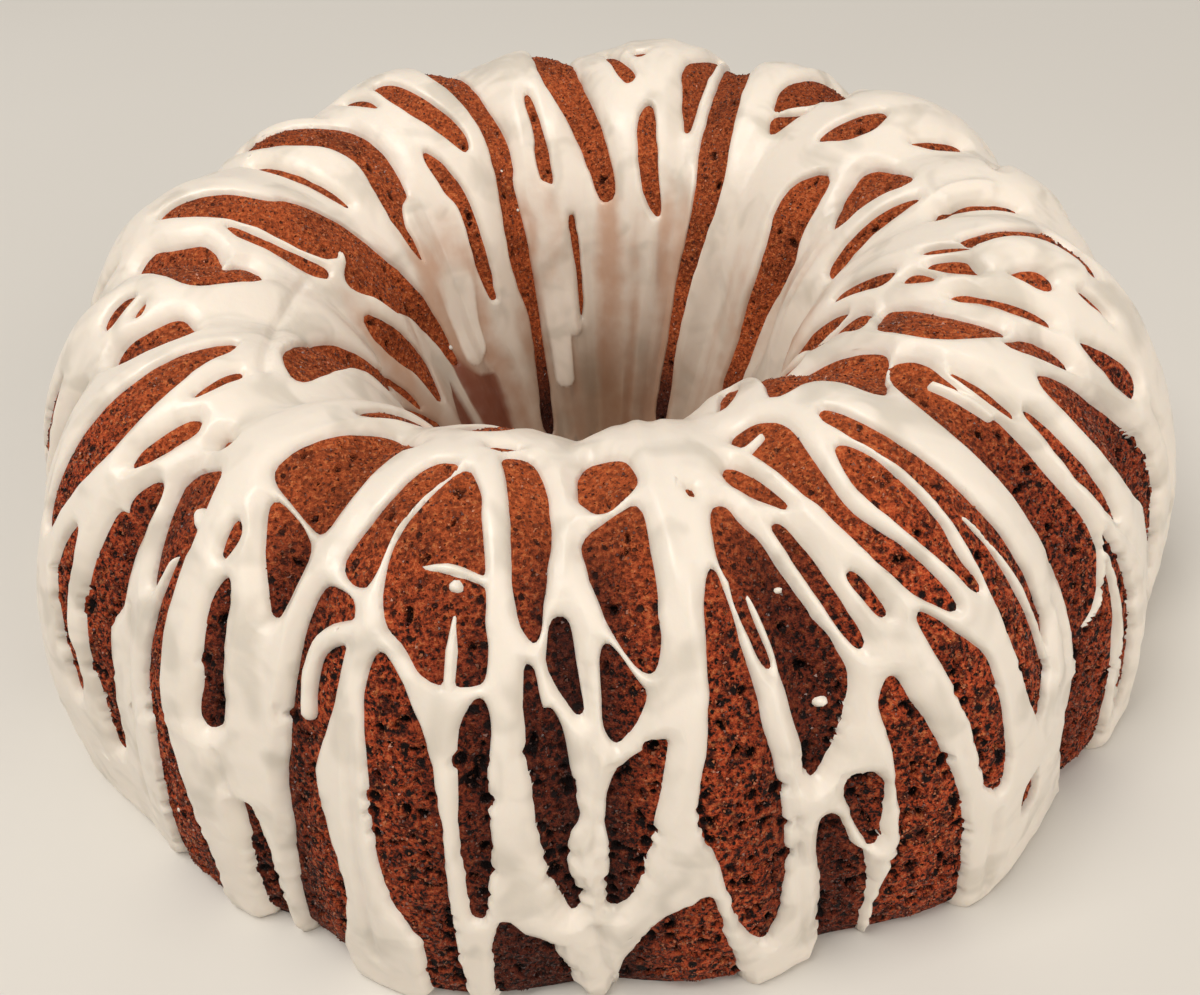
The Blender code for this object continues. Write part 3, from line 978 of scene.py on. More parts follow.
    def _edges(self) -> np.ndarray:
        """Leave the gaps bare and lay the threads across them.

        Returns:
            Millimetres inside the icing's edge, below zero on bare crust.
        """
        edge = np.full(self.form.runs.shape, self.search)
        outlines = [*FRONT_GAPS, *LEFT_GAPS, *BACK_GAPS, *RIGHT_GAPS, *INNER_GAPS, *BACK_WALL.gaps(),
                    *HOLE_WALL.gaps()]
        for outline in outlines:
            index, distance, _ = self._near(outline, True)
            edge[index] = np.minimum(edge[index], distance - self.shrink)
        self.crown = np.zeros_like(edge)
        for thread in THREADS:
            index, distance, along = self._near(thread.path, False)
            half = 0.5 * thread.width * thread.shape.spread(along)
            edge[index] = smooth_max(edge[index], half - distance, self.melt)
            lift = thread.lift * thread.shape.stand(along)
            self.crown[index] = np.maximum(
                self.crown[index], lift * np.sqrt(np.clip(1.0 - (distance / half) ** 2, 0.0, 1.0)))
        azimuth, run = self.form.azimuths, self.form.runs
        wobble = self.wobble * Ripple.WOBBLE.at(azimuth, run)
        nibble = self.nibble * Zone.RAGGED.fade(run) * Ripple.NIBBLE.at(azimuth, run)
        self.whole_edge = edge + wobble + nibble
        return self._notched(self.whole_edge.copy())

    def _notched(self, edge: np.ndarray) -> np.ndarray:
        """Let open pores bite into the icing's lower edges.

        Args:
            edge: Millimetres inside the icing's edge.

        Returns:
            The same, with the pores left bare; the pores' bowls are kept in notch.
        """
        chance = np.random.default_rng(self.pore_seed)
        form = self.form
        self.notch = np.zeros_like(edge)
        patchy = smoothstep(-0.35, 0.35, Ripple.PORE_PATCHES.at(form.azimuths, form.runs))
        low = Zone.NOTCHED.fade(form.runs) * (form.runs > self.whole_foot) * patchy
        beside = (edge > self.pore_offsets[0]) & (edge < self.pore_offsets[1])
        found = np.argwhere(beside & (low > chance.random(edge.shape)))
        taken = set()
        for row, column in chance.permutation(found):
            azimuth, run = float(form.azimuths[row, column]), float(form.runs[row, column])
            per_degree = float(form.radius_at(np.array(run))) / MM * math.radians(1.0)
            lot = (int(azimuth * per_degree // self.pore_spacing), int(run // self.pore_spacing))
            if lot in taken:
                continue
            taken.add(lot)
            radius = chance.uniform(*self.pore_radii)
            if chance.random() > self.pore_share:
                continue
            index, (azimuths, runs, wide) = self._patch(((azimuth, run),), self.pore_search)
            if self.whole_edge[index].max() < self.sound_width:
                continue
            distance = np.hypot((azimuths - azimuth) * wide, runs - run)
            distance += 0.25 * Ripple.PORE_RIM.at(azimuths, runs)
            edge[index] = np.minimum(edge[index], distance - radius)
            self.notch[index] = np.maximum(self.notch[index], smoothstep(radius, 0.3 * radius, distance))
        return edge

    def _heights(self) -> np.ndarray:
        """Pile the icing up between its edges, thick on the crest and thin deep in the hole.

        Returns:
            The icing's top in metres over the crust, below zero where the crust is bare.
        """
        form, azimuth, run = self.form, self.form.azimuths, self.form.runs
        hole = Zone.HOLE.fade(run)
        strayed = azimuth + 2.0 * Ripple.ASTRAY.at(azimuth, run)
        streaks = Ripple.STREAKS.at(strayed, run) + 0.4 * Ripple.THIN_STREAKS.at(strayed, run)
        streaks = smoothstep(-0.9, 0.7, streaks)
        streaks *= 1.0 - 0.6 * Zone.DEEP_HOLE.fade(run)
        self.richness = 1.0 - self.glaze_share * hole * (1.0 - streaks)
        self.veil = np.zeros_like(run)
        # Painted shade deep in the hole: all round its foot, more on the far side, less on raised strands.
        turned = (azimuth - self.far_azimuth + 180.0) % 360.0 - 180.0
        far_side = np.exp(-(turned / self.far_reach) ** 2)
        self.icing_hole_shade = Zone.SHADED_ICING_HOLE.fade(run) * (self.icing_hole_shade_shares[0] + self.icing_hole_shade_shares[1] * far_side)
        self.icing_hole_shade *= 1.0 - 0.6 * np.clip(self.crown / 0.5, 0.0, 1.0)
        for outline in VEILS:
            index, distance, _ = self._near(outline, True)
            clear = smoothstep(self.veil_edge, -self.veil_edge, distance)
            self.veil[index] = np.maximum(self.veil[index], clear * (self.crown[index] <= 0.0))
        self.richness *= 1.0 - smoothstep(0.3, 1.0, self.veil)
        full = self.glaze_thickness + (self.thickness - self.glaze_thickness) * self.richness
        roll = np.clip(self.whole_edge / (self.edge_roll * (full / self.thickness) ** 0.5), 0.0, 1.0)
        cut = np.clip(self.edge / 0.45, 0.0, 1.0)
        dome = full * np.sqrt(1.0 - (1.0 - roll) ** 2) * np.sqrt(1.0 - (1.0 - cut) ** 2)
        inner = smoothstep(0.6, 3.0, self.edge) * (1.0 - 0.7 * hole)
        ropes = Ripple.ROPES.at(azimuth + 5.0 * Ripple.WANDER.at(azimuth, run), run)
        ropes += 0.55 * Ripple.SWELLS.at(azimuth, run)
        dimples = Zone.DIMPLED.fade(run) * Ripple.DIMPLES.at(azimuth, run)
        pool = self.pool_share * form.depth(run) * np.clip(1.0 - form.relief(azimuth), 0.0, 1.0)
        foot = self.foot_height * Zone.FOOT.fade(run)
        uneven = self.rope_height * ropes + self.dimple_height * dimples + pool + foot
        height = dome + inner * uneven + self.crown * MM
        for crease in CREASES:
            index, distance, _ = self._near(crease, False)
            valley = self.crease_depth * np.exp(-(distance / self.crease_width) ** 2)
            height[index] -= valley * (height[index] > self.crease_floor)
        sunk = np.maximum(3.0 * self.edge * MM, -self.sink_depth) - self.pore_bowl * self.notch
        return np.where(self.edge < 0.0, sunk, height)


# --------------------------------------------------------------------------------------------------
# Finishes


@dataclass(frozen=True)
class BakedCrumb:
    """Baked sponge cake where the tin has browned it.

    A matt, open crumb of fine grains: orange-brown on the crest, redder and darker down the wall, and
    browned along the grooves. Painted shade darkens the pores, the hollows between grains and clumps, the
    grooves, the front wall, the foot and the hole; a painted highlight pales the grain tips.
    """

    crest: str = "#B8562A"
    wall: str = "#BC4A25"
    # groove: the darkest browning, and the colour of the painted shade
    groove: str = "#2B0B06"
    # pore: the painted shade inside pores and between grains
    pore: str = "#100302"
    # crumb light: paler grains, and a painted highlight on the grain tips
    tip_light_and_highlight: str = "#E08C50"
    grain: float = 0.9 * MM  # one grain of crumb
    clump: float = 2.4 * MM  # grains that bake together
    patch: float = 14.0 * MM  # uneven browning
    pore_spacing: float = 2.2 * MM
    pore_radii: tuple[float, float] = (0.05 * MM, 1.05 * MM)
    pinhole_spacing: float = 1.15 * MM
    pinhole_radii: tuple[float, float] = (0.0, 0.44 * MM)
    pore_warp: float = 1.1 * MM  # how far the grains push a pore's rim
    pore_floor: float = 0.6  # the share of a pore's radius within which it is darkest
    crest_pores: float = 0.58  # how wide the crest's pores are, as a share of the wall's
    roughness: float = 0.75
    glint_roughness: float = 0.25
    refraction: float = 1.45
    specular: float = 0.22
    bump: float = 0.5 * MM

    def make(self) -> bpy.types.Material:
        """Build the material.

        Returns:
            The material.
        """
        material, tree = new_material("baked crumb")
        place = add_node(tree, "ShaderNodeTexCoord").outputs["Object"]
        # The dark attribute holds the crust's browning together with painted shade
        wall, browned_and_shaded, pit = (add_node(tree, "ShaderNodeAttribute", attribute_name=name).outputs["Fac"]
                             for name in ("wall", "dark", "pit"))
        fine = add_node(tree, "ShaderNodeTexNoise", {
            "Vector": place, "Scale": 1.0 / self.grain, "Detail": 2.0, "Roughness": 0.7})
        clumps = add_node(tree, "ShaderNodeTexNoise", {
            "Vector": place, "Scale": 1.0 / self.clump, "Detail": 1.0})
        browning = add_node(tree, "ShaderNodeTexNoise", {
            "Vector": place, "Scale": 1.0 / self.patch, "Detail": 3.0, "Roughness": 0.6})

        # Darkening: browning in random patches everywhere, painted shade in the hollows between clumps down
        # the wall, and the dark attribute's browning and painted shade.
        patchy = add_node(tree, "ShaderNodeMapRange", {
            "Value": browning, "From Min": 0.42, "From Max": 0.75, "To Max": 0.55})
        clump_hollows = add_node(tree, "ShaderNodeMapRange", {
            "Value": clumps, "From Min": 0.52, "From Max": 0.32, "To Max": 0.8})
        painted_clump_shade = add_node(tree, "ShaderNodeMath", {0: clump_hollows, 1: wall}, operation="MULTIPLY")
        uneven = add_node(tree, "ShaderNodeMath", {0: patchy, 1: painted_clump_shade}, operation="MAXIMUM")
        browning_and_shade = add_node(tree, "ShaderNodeMath", {0: uneven, 1: browned_and_shaded}, operation="MAXIMUM")

        # Grains: painted shade between them, and a painted highlight where they stand out.
        between = add_node(tree, "ShaderNodeMapRange", {"Value": fine, "From Min": 0.55, "From Max": 0.37})
        openness = add_node(tree, "ShaderNodeMapRange", {"Value": wall, "To Min": 0.55})
        shadowed = add_node(tree, "ShaderNodeMath", {0: between, 1: openness}, operation="MULTIPLY")
        tip_highlight = add_node(tree, "ShaderNodeMapRange", {
            "Value": fine, "From Min": 0.55, "From Max": 0.7, "To Max": 0.5})
        pale = add_node(tree, "ShaderNodeMath", {0: 1.0, 1: browned_and_shaded}, operation="SUBTRACT")
        painted_tip_highlight = add_node(tree, "ShaderNodeMath", {0: tip_highlight, 1: pale}, operation="MULTIPLY")

        # Open pores of two sizes, pushed out of round by the grains, painted near-black as the shade inside
        # them.
        shift = add_node(tree, "ShaderNodeVectorMath", {
            0: fine.outputs["Color"], 1: [self.pore_warp] * 3, 2: place}, operation="MULTIPLY_ADD")
        openings = []
        for spacing, (least, most) in ((self.pore_spacing, self.pore_radii),
                                       (self.pinhole_spacing, self.pinhole_radii)):
            cells = add_node(tree, "ShaderNodeTexVoronoi", {"Vector": shift, "Scale": 1.0 / spacing})
            lots = add_node(tree, "ShaderNodeSeparateXYZ", {"Vector": cells.outputs["Color"]})
            widest = add_node(tree, "ShaderNodeMapRange", {
                "Value": wall, "To Min": self.crest_pores * most / spacing, "To Max": most / spacing})
            reach = add_node(tree, "ShaderNodeMapRange", {
                "Value": lots.outputs["X"], "To Min": least / spacing, "To Max": widest})
            floor = add_node(tree, "ShaderNodeMath", {0: reach, 1: self.pore_floor}, operation="MULTIPLY")
            openings.append(add_node(tree, "ShaderNodeMapRange", {
                "Value": cells.outputs["Distance"], "From Min": reach, "From Max": floor},
                interpolation_type="SMOOTHSTEP"))
        pores = add_node(tree, "ShaderNodeMath", dict(enumerate(openings)), operation="MAXIMUM")
        pitted = add_node(tree, "ShaderNodeMapRange", {
            "Value": pit, "From Min": 0.12, "From Max": 0.6}, interpolation_type="SMOOTHSTEP")
        sunk = add_node(tree, "ShaderNodeMath", {0: pores, 1: pitted}, operation="MAXIMUM")
        # Painted shade: pores and pits turn near-black, more so down the wall
        pore_shade_strength = add_node(tree, "ShaderNodeMapRange", {"Value": wall, "To Min": 0.75})
        pore_shade = add_node(tree, "ShaderNodeMath", {0: sunk, 1: pore_shade_strength}, operation="MULTIPLY")

        colour = linear(self.crest)
        layers = ((wall, self.wall), (browning_and_shade, self.groove), (shadowed, self.pore),
                  (painted_tip_highlight, self.tip_light_and_highlight), (pore_shade, self.pore))
        for cover, shade in layers:
            colour = add_node(tree, "ShaderNodeMix", {
                "Factor": cover, "A": colour, "B": linear(shade)}, data_type="RGBA")
        glint = add_node(tree, "ShaderNodeMapRange", {
            "Value": fine, "From Min": 0.56, "From Max": 0.66, "To Min": self.roughness,
            "To Max": self.glint_roughness}, interpolation_type="SMOOTHSTEP")
        height = add_node(tree, "ShaderNodeMath", {0: fine, 1: 2.0, 2: clumps}, operation="MULTIPLY_ADD")
        open_height = add_node(tree, "ShaderNodeMath", {0: height, 1: pores}, operation="SUBTRACT")
        bump = add_node(tree, "ShaderNodeBump", {
            "Strength": 1.0, "Distance": self.bump, "Height": open_height})
        shader = add_node(tree, "ShaderNodeBsdfPrincipled", {
            "Base Color": colour, "Roughness": glint, "IOR": self.refraction,
            "Specular IOR Level": self.specular, "Normal": bump})
        add_node(tree, "ShaderNodeOutputMaterial", {"Surface": shader})
        return material


@dataclass(frozen=True)
class MoistGrain:
    """Loose grains of baked crumb, moist with fat and sugar.

    Tiny facets from maroon to orange, glossy enough that some of them flash.
    """

    dark: str = "#4A150B"
    light: str = "#C8764A"
    # groove: the colour that browning and painted shade darken the grains to
    groove: str = "#2B0B06"
    roughness: float = 0.36
    refraction: float = 1.47

    def make(self) -> bpy.types.Material:
        """Build the material.

        Returns:
            The material.
        """
        material, tree = new_material("moist crumb grain")
        colour = linear(self.dark)
        # shade is a random tint; dark is the crust's browning together with painted shade
        for name, shade in (("shade", self.light), ("dark", self.groove)):
            cover = add_node(tree, "ShaderNodeAttribute", attribute_name=name).outputs["Fac"]
            colour = add_node(tree, "ShaderNodeMix", {
                "Factor": cover, "A": colour, "B": linear(shade)}, data_type="RGBA")
        shader = add_node(tree, "ShaderNodeBsdfPrincipled", {
            "Base Color": colour, "Roughness": self.roughness, "IOR": self.refraction})
        add_node(tree, "ShaderNodeOutputMaterial", {"Surface": shader})
        return material


@dataclass(frozen=True)
class SetIcing:
    """Poured sugar icing that has set.

    Cream and satin, slightly see-through: where it lies thin it turns to a beige glaze that shows the
    crust's brown, and deep in the hole painted shade dulls it.
    """

    cream: str = "#F0E6D9"
    glaze: str = "#D0AD95"
    veil: str = "#94563F"
    bloom: str = "#CFC6B8"
    icing_hole_shade: str = "#978575"  # painted shade: multiplies the other colours deep in the hole
    clot: float = 5.0 * MM  # slow unevenness of the surface
    patch: float = 11.0 * MM  # where it dried to a greyer, clearer skin
    dust: float = 0.7 * MM  # undissolved sugar
    roughness: float = 0.36
    refraction: float = 1.48
    scatter: float = 1.6 * MM
    scatter_share: float = 0.25
    bump: float = 0.6 * MM

    def make(self) -> bpy.types.Material:
        """Build the material.

        Returns:
            The material.
        """
        material, tree = new_material("set sugar icing")
        place = add_node(tree, "ShaderNodeTexCoord").outputs["Object"]
        body, thin, icing_hole_shade = (add_node(tree, "ShaderNodeAttribute", attribute_name=name).outputs["Fac"]
                            for name in ("body", "veil", "icing_hole_shade"))
        clots, dust = (add_node(tree, "ShaderNodeTexNoise", {
            "Vector": place, "Scale": 1.0 / size, "Detail": 2.0}) for size in (self.clot, self.dust))
        patches = add_node(tree, "ShaderNodeTexNoise", {
            "Vector": place, "Scale": 1.0 / self.patch, "Detail": 2.0, "Distortion": 0.6})

        lay = add_node(tree, "ShaderNodeMath", {0: clots, 1: 0.5, 2: body}, operation="MULTIPLY_ADD")
        thick = add_node(tree, "ShaderNodeMapRange", {
            "Value": lay, "From Min": 0.3, "From Max": 1.05}, interpolation_type="SMOOTHSTEP")
        greyed = add_node(tree, "ShaderNodeMapRange", {
            "Value": patches, "From Min": 0.46, "From Max": 0.7, "To Max": 0.7},
            interpolation_type="SMOOTHSTEP")
        veiled, creamy = (add_node(tree, "ShaderNodeMix", {
            "Factor": cover, "A": linear(under), "B": linear(over)}, data_type="RGBA")
            for cover, under, over in ((thin, self.glaze, self.veil), (greyed, self.cream, self.bloom)))
        colour = add_node(tree, "ShaderNodeMix", {
            "Factor": thick, "A": veiled, "B": creamy}, data_type="RGBA")
        # Painted shade deep in the hole multiplies the colour
        hole_shaded = add_node(tree, "ShaderNodeMix", {
            "Factor": icing_hole_shade, "A": colour, "B": linear(self.icing_hole_shade)}, data_type="RGBA", blend_type="MULTIPLY")

        satin = add_node(tree, "ShaderNodeMapRange", {
            "Value": clots, "From Min": 0.3, "From Max": 0.7, "To Min": self.roughness - 0.08,
            "To Max": self.roughness + 0.1})
        swell = add_node(tree, "ShaderNodeMath", {0: dust, 1: 0.12, 2: clots}, operation="MULTIPLY_ADD")
        bump = add_node(tree, "ShaderNodeBump", {"Strength": 0.35, "Distance": self.bump, "Height": swell})
        shader = add_node(tree, "ShaderNodeBsdfPrincipled", {
            "Base Color": hole_shaded, "Roughness": satin, "IOR": self.refraction,
            "Subsurface Weight": self.scatter_share, "Subsurface Radius": (1.0, 0.75, 0.5),
            "Subsurface Scale": self.scatter, "Normal": bump})
        add_node(tree, "ShaderNodeOutputMaterial", {"Surface": shader})
        return material


@dataclass(frozen=True)
class PaleBacking:
    """Matt pale board under the cake: an even, warm off-white."""

    colour: str = "#DCD9D3"
    mottle: str = "#D6D2CB"
    cloud: float = 250.0 * MM
    roughness: float = 0.8

    def make(self) -> bpy.types.Material:
        """Build the material.

        Returns:
            The material.
        """
        material, tree = new_material("pale board")
        place = add_node(tree, "ShaderNodeTexCoord").outputs["Object"]
        cloud = add_node(tree, "ShaderNodeTexNoise", {"Vector": place, "Scale": 1.0 / self.cloud})
        colour = add_node(tree, "ShaderNodeMix", {
            "Factor": cloud, "A": linear(self.colour), "B": linear(self.mottle)}, data_type="RGBA")
        shader = add_node(tree, "ShaderNodeBsdfPrincipled", {
            "Base Color": colour, "Roughness": self.roughness})
        add_node(tree, "ShaderNodeOutputMaterial", {"Surface": shader})
        return material


# --------------------------------------------------------------------------------------------------
# Sub-assemblies


@dataclass
class Crust:
    """The browned cake itself, pitted where the icing missed it."""

    form: CakeForm
    drizzle: Drizzle
    finish: bpy.types.Material
    pit_spacing: float = 2.8 * MM
    pit_depth: float = 1.9 * MM
    lump: float = 6.0 * MM
    lump_height: float = 0.45 * MM
    grain: float = 1.5 * MM
    grain_height: float = 0.42 * MM
    triangles: int = 190_000
    front_shade_spots: Outline = ((-7.5, 8.8), (-33.5, 4.2))  # azimuths of painted shade on the front wall, and how far it reaches
    front: tuple[float, float] = (-4.0, 34.0)  # the azimuth where painted shade deepens the grooves most, and how far it reaches
    rear: tuple[float, float] = (140.0, 38.0)  # the azimuth of painted shade on the hole's far crest, and how far it reaches
    groove_browning_and_shade: tuple[float, float] = (0.42, 0.5)  # browning and painted shade in the grooves everywhere, and how much more painted shade at the front
    # how strong the painted shade on the front wall is
    front_shade_strength: float = 0.88
    # how strong the painted shade at the foot is
    foot_shade_strength: float = 0.45
    # how strong the painted shade deep in the hole is
    hole_shade_strength: float = 0.95
    # how strong the painted shade on the hole's far crest is
    rear_shade_strength: float = 0.3
    seed: float = 3.0

    def build(self) -> bpy.types.Object:
        """Make the crust as one closed mesh.

        Returns:
            The crust's object.
        """
        form = self.form
        rows, columns = form.runs.shape
        sides = form.quads().reshape(-1, 4)
        first = np.arange(columns)
        last = first + (rows - 1) * columns
        base = np.stack((last, np.roll(last, -1), np.roll(first, -1), first), 1)
        points = form.place(form.azimuths, form.runs, 0.0).reshape(-1, 3)
        margin = np.minimum(form.runs, form.length / MM - form.runs)
        attributes = {
            "bare": smoothstep(0.1, -1.6, self.drizzle.edge) * smoothstep(0.3, 3.0, margin),
            "low": Zone.PITTED.fade(form.runs),
            "notch": self.drizzle.notch,
            "wall": Zone.WALL.fade(form.runs),
            # dark: the crust's browning together with painted shade
            "dark": self._browning_and_painted_shade(),
        }
        crust = new_piece("baked_crust", mesh_from("baked_crust", points, np.concatenate((sides, base)),
                                                   attributes))
        grow(crust, self._pitting(), {
            "Pit Spacing": self.pit_spacing, "Pit Depth": self.pit_depth, "Lump Size": self.lump,
            "Lump Height": self.lump_height, "Grain Size": self.grain, "Grain Height": self.grain_height,
            "Seed": self.seed, "Material": self.finish})
        thin_out(crust, self.triangles)
        return crust

    def _near(self, middle: float, reach: float) -> np.ndarray:
        """Return how near each place is to an azimuth, from 1 there to almost 0 at twice the reach."""
        return np.exp(-((self.form.azimuths - middle) / reach) ** 2)

    def _browning_and_painted_shade(self) -> np.ndarray:
        """Darken the crust: browning and painted shade in the low grooves, most at the front, and painted
        shade on the front wall, at the foot, deep in the hole and on its far crest.

        Returns:
            How dark it is at each place, from 0 to 1.
        """
        run, (least, more) = self.form.runs, self.groove_browning_and_shade
        # Grooves: browning and painted shade, with more of the painted shade at the front
        groove = smoothstep(0.72, 0.05, self.form.relief(self.form.azimuths)) * Zone.GROOVES.fade(run)
        front_shade = sum(self._near(*place) for place in self.front_shade_spots) * Zone.SHADED_FRONT.fade(run)
        return np.maximum.reduce([
            groove * (least + more * self._near(*self.front)),
            self.front_shade_strength * front_shade,
            self.foot_shade_strength * Zone.SHADED_FOOT.fade(run),
            self.hole_shade_strength * Zone.SHADED_HOLE.fade(run),
            self.rear_shade_strength * self._near(*self.rear) * Zone.SHADED_REAR.fade(run),
        ])

    @staticmethod
    def _pitting() -> bpy.types.NodeTree:
        """Roughen the bare crust, and pit it.

        Returns:
            The Geometry Nodes tree that does so.
        """
        sizes = ("Pit Spacing", "Pit Depth", "Lump Size", "Lump Height", "Grain Size", "Grain Height")
        tree, given = new_tree("crust pitting", Float=(*sizes, "Seed"), Material=("Material",))
        place = add_node(tree, "GeometryNodeInputPosition")
        normal = add_node(tree, "GeometryNodeInputNormal")
        bare, low, notch = (add_node(tree, "GeometryNodeInputNamedAttribute", {"Name": name},
                                     data_type="FLOAT") for name in ("bare", "low", "notch"))
        lumpiness, fineness, crowding = (
            add_node(tree, "ShaderNodeMath", {0: 1.0, 1: given[size]}, operation="DIVIDE")
            for size in ("Lump Size", "Grain Size", "Pit Spacing"))
        lumps = add_node(tree, "ShaderNodeTexNoise", {
            "Vector": place, "W": given["Seed"], "Scale": lumpiness, "Detail": 1.0},
            noise_dimensions="4D")
        grains = add_node(tree, "ShaderNodeTexNoise", {
            "Vector": place, "W": given["Seed"], "Scale": fineness, "Detail": 2.0, "Roughness": 0.6},
            noise_dimensions="4D")

        # Pits: a cell for each, pushed out of round, some of them empty.
        pushes = []
        for noise, push in ((lumps, 5.0 * MM), (grains, 2.2 * MM)):
            centred = add_node(tree, "ShaderNodeVectorMath", {
                0: noise.outputs["Color"], 1: (0.5, 0.5, 0.5)}, operation="SUBTRACT")
            pushes.append(add_node(tree, "ShaderNodeVectorMath", {0: centred, "Scale": push},
                                   operation="SCALE"))
        warp = add_node(tree, "ShaderNodeVectorMath", dict(enumerate(pushes)), operation="ADD")
        elsewhere = add_node(tree, "ShaderNodeCombineXYZ", {"X": given["Seed"]})
        seeded = add_node(tree, "ShaderNodeVectorMath", {0: place, 1: elsewhere}, operation="ADD")
        warped = add_node(tree, "ShaderNodeVectorMath", {0: seeded, 1: warp}, operation="ADD")
        cells = add_node(tree, "ShaderNodeTexVoronoi", {"Vector": warped, "Scale": crowding})
        lots = add_node(tree, "ShaderNodeSeparateXYZ", {"Vector": cells.outputs["Color"]})
        share = add_node(tree, "ShaderNodeMapRange", {"Value": low, "To Min": 0.2, "To Max": 0.95})
        drawn = add_node(tree, "ShaderNodeMath", {0: lots.outputs["X"], 1: share}, operation="LESS_THAN")
        reach = add_node(tree, "ShaderNodeMapRange", {
            "Value": lots.outputs["Y"], "To Min": 0.26, "To Max": 0.56})
        floor = add_node(tree, "ShaderNodeMath", {0: reach, 1: 0.35}, operation="MULTIPLY")
        bowl = add_node(tree, "ShaderNodeMapRange", {
            "Value": cells.outputs["Distance"], "From Min": reach, "From Max": floor},
            interpolation_type="SMOOTHSTEP")
        pit = add_node(tree, "ShaderNodeMath", {0: bowl, 1: drawn}, operation="MULTIPLY")
        bare_pit = add_node(tree, "ShaderNodeMath", {0: pit, 1: bare}, operation="MULTIPLY")
        open_pit = add_node(tree, "ShaderNodeMath", {0: bare_pit, 1: notch}, operation="MAXIMUM")
        shallow = add_node(tree, "ShaderNodeMath", {0: notch, 1: 0.65}, operation="MULTIPLY")
        bowls = add_node(tree, "ShaderNodeMath", {0: bare_pit, 1: shallow}, operation="MAXIMUM")
        sunk = add_node(tree, "ShaderNodeMath", {0: bowls, 1: given["Pit Depth"]}, operation="MULTIPLY")

        # Lumps and grains, with the pits taken out of them.
        lump, grain = (add_node(tree, "ShaderNodeMapRange", {
            "Value": noise, "From Min": 0.25, "From Max": 0.75, "To Min": -1.0})
            for noise in (lumps, grains))
        lumped = add_node(tree, "ShaderNodeMath", {0: lump, 1: given["Lump Height"]}, operation="MULTIPLY")
        grained = add_node(tree, "ShaderNodeMath", {
            0: grain, 1: given["Grain Height"], 2: lumped}, operation="MULTIPLY_ADD")
        raised = add_node(tree, "ShaderNodeMath", {0: grained, 1: bare}, operation="MULTIPLY")
        lift = add_node(tree, "ShaderNodeMath", {0: raised, 1: sunk}, operation="SUBTRACT")
        offset = add_node(tree, "ShaderNodeVectorMath", {0: normal, "Scale": lift}, operation="SCALE")
        marked = add_node(tree, "GeometryNodeStoreNamedAttribute", {
            "Geometry": given["Geometry"], "Name": "pit", "Value": open_pit},
            data_type="FLOAT", domain="POINT")
        moved = add_node(tree, "GeometryNodeSetPosition", {"Geometry": marked, "Offset": offset})
        close_tree(tree, moved, given["Material"])
        return tree


@dataclass
class Scatter(ABC):
    """Small bits that fixed seeds strew over the bare crust, as one mesh."""

    crust: bpy.types.Object
    finish: bpy.types.Material
    name: str
    sizes: tuple[float, float]
    density: float  # for each square metre of bare crust
    bareness: tuple[float, float]  # of the crust, where the first bits lie and where they all do
    seed: int

    def build(self) -> bpy.types.Object:
        """Strew the bits.

        Returns:
            The bits' object.
        """
        bits = new_piece(self.name, self.crust.data.copy())
        tree, given = new_tree(self.name, Float=("Density", "Smallest", "Largest"),
                               Int=("Seed", "Tint Seed"), Material=("Material",))
        bare = add_node(tree, "GeometryNodeInputNamedAttribute", {"Name": "bare"}, data_type="FLOAT")
        cover = add_node(tree, "ShaderNodeMapRange", {
            "Value": bare, "From Min": self.bareness[0], "From Max": self.bareness[1]})
        spread = add_node(tree, "ShaderNodeMath", {0: cover, 1: given["Density"]}, operation="MULTIPLY")
        points = add_node(tree, "GeometryNodeDistributePointsOnFaces", {
            "Mesh": given["Geometry"], "Density": spread, "Seed": given["Seed"]},
            distribute_method="RANDOM")
        size = add_node(tree, "FunctionNodeRandomValue", {
            "Min": given["Smallest"], "Max": given["Largest"], "Seed": given["Seed"]}, data_type="FLOAT")
        close_tree(tree, self.shape(tree, given, points, size), given["Material"])
        grow(bits, tree, {"Density": self.density, "Smallest": self.sizes[0], "Largest": self.sizes[1],
                          "Seed": self.seed, "Tint Seed": self.seed + 1, "Material": self.finish})
        return bits

    @abstractmethod
    def shape(self, tree: bpy.types.NodeTree, given: Any, points: bpy.types.Node,
              size: bpy.types.Node) -> bpy.types.Node:
        """Put a bit on each point.

        Args:
            tree: The bits' node tree.
            given: The tree's inputs, by name.
            points: The node that gives the points.
            size: The node that gives each bit's size.

        Returns:
            The node that gives the bits.
        """


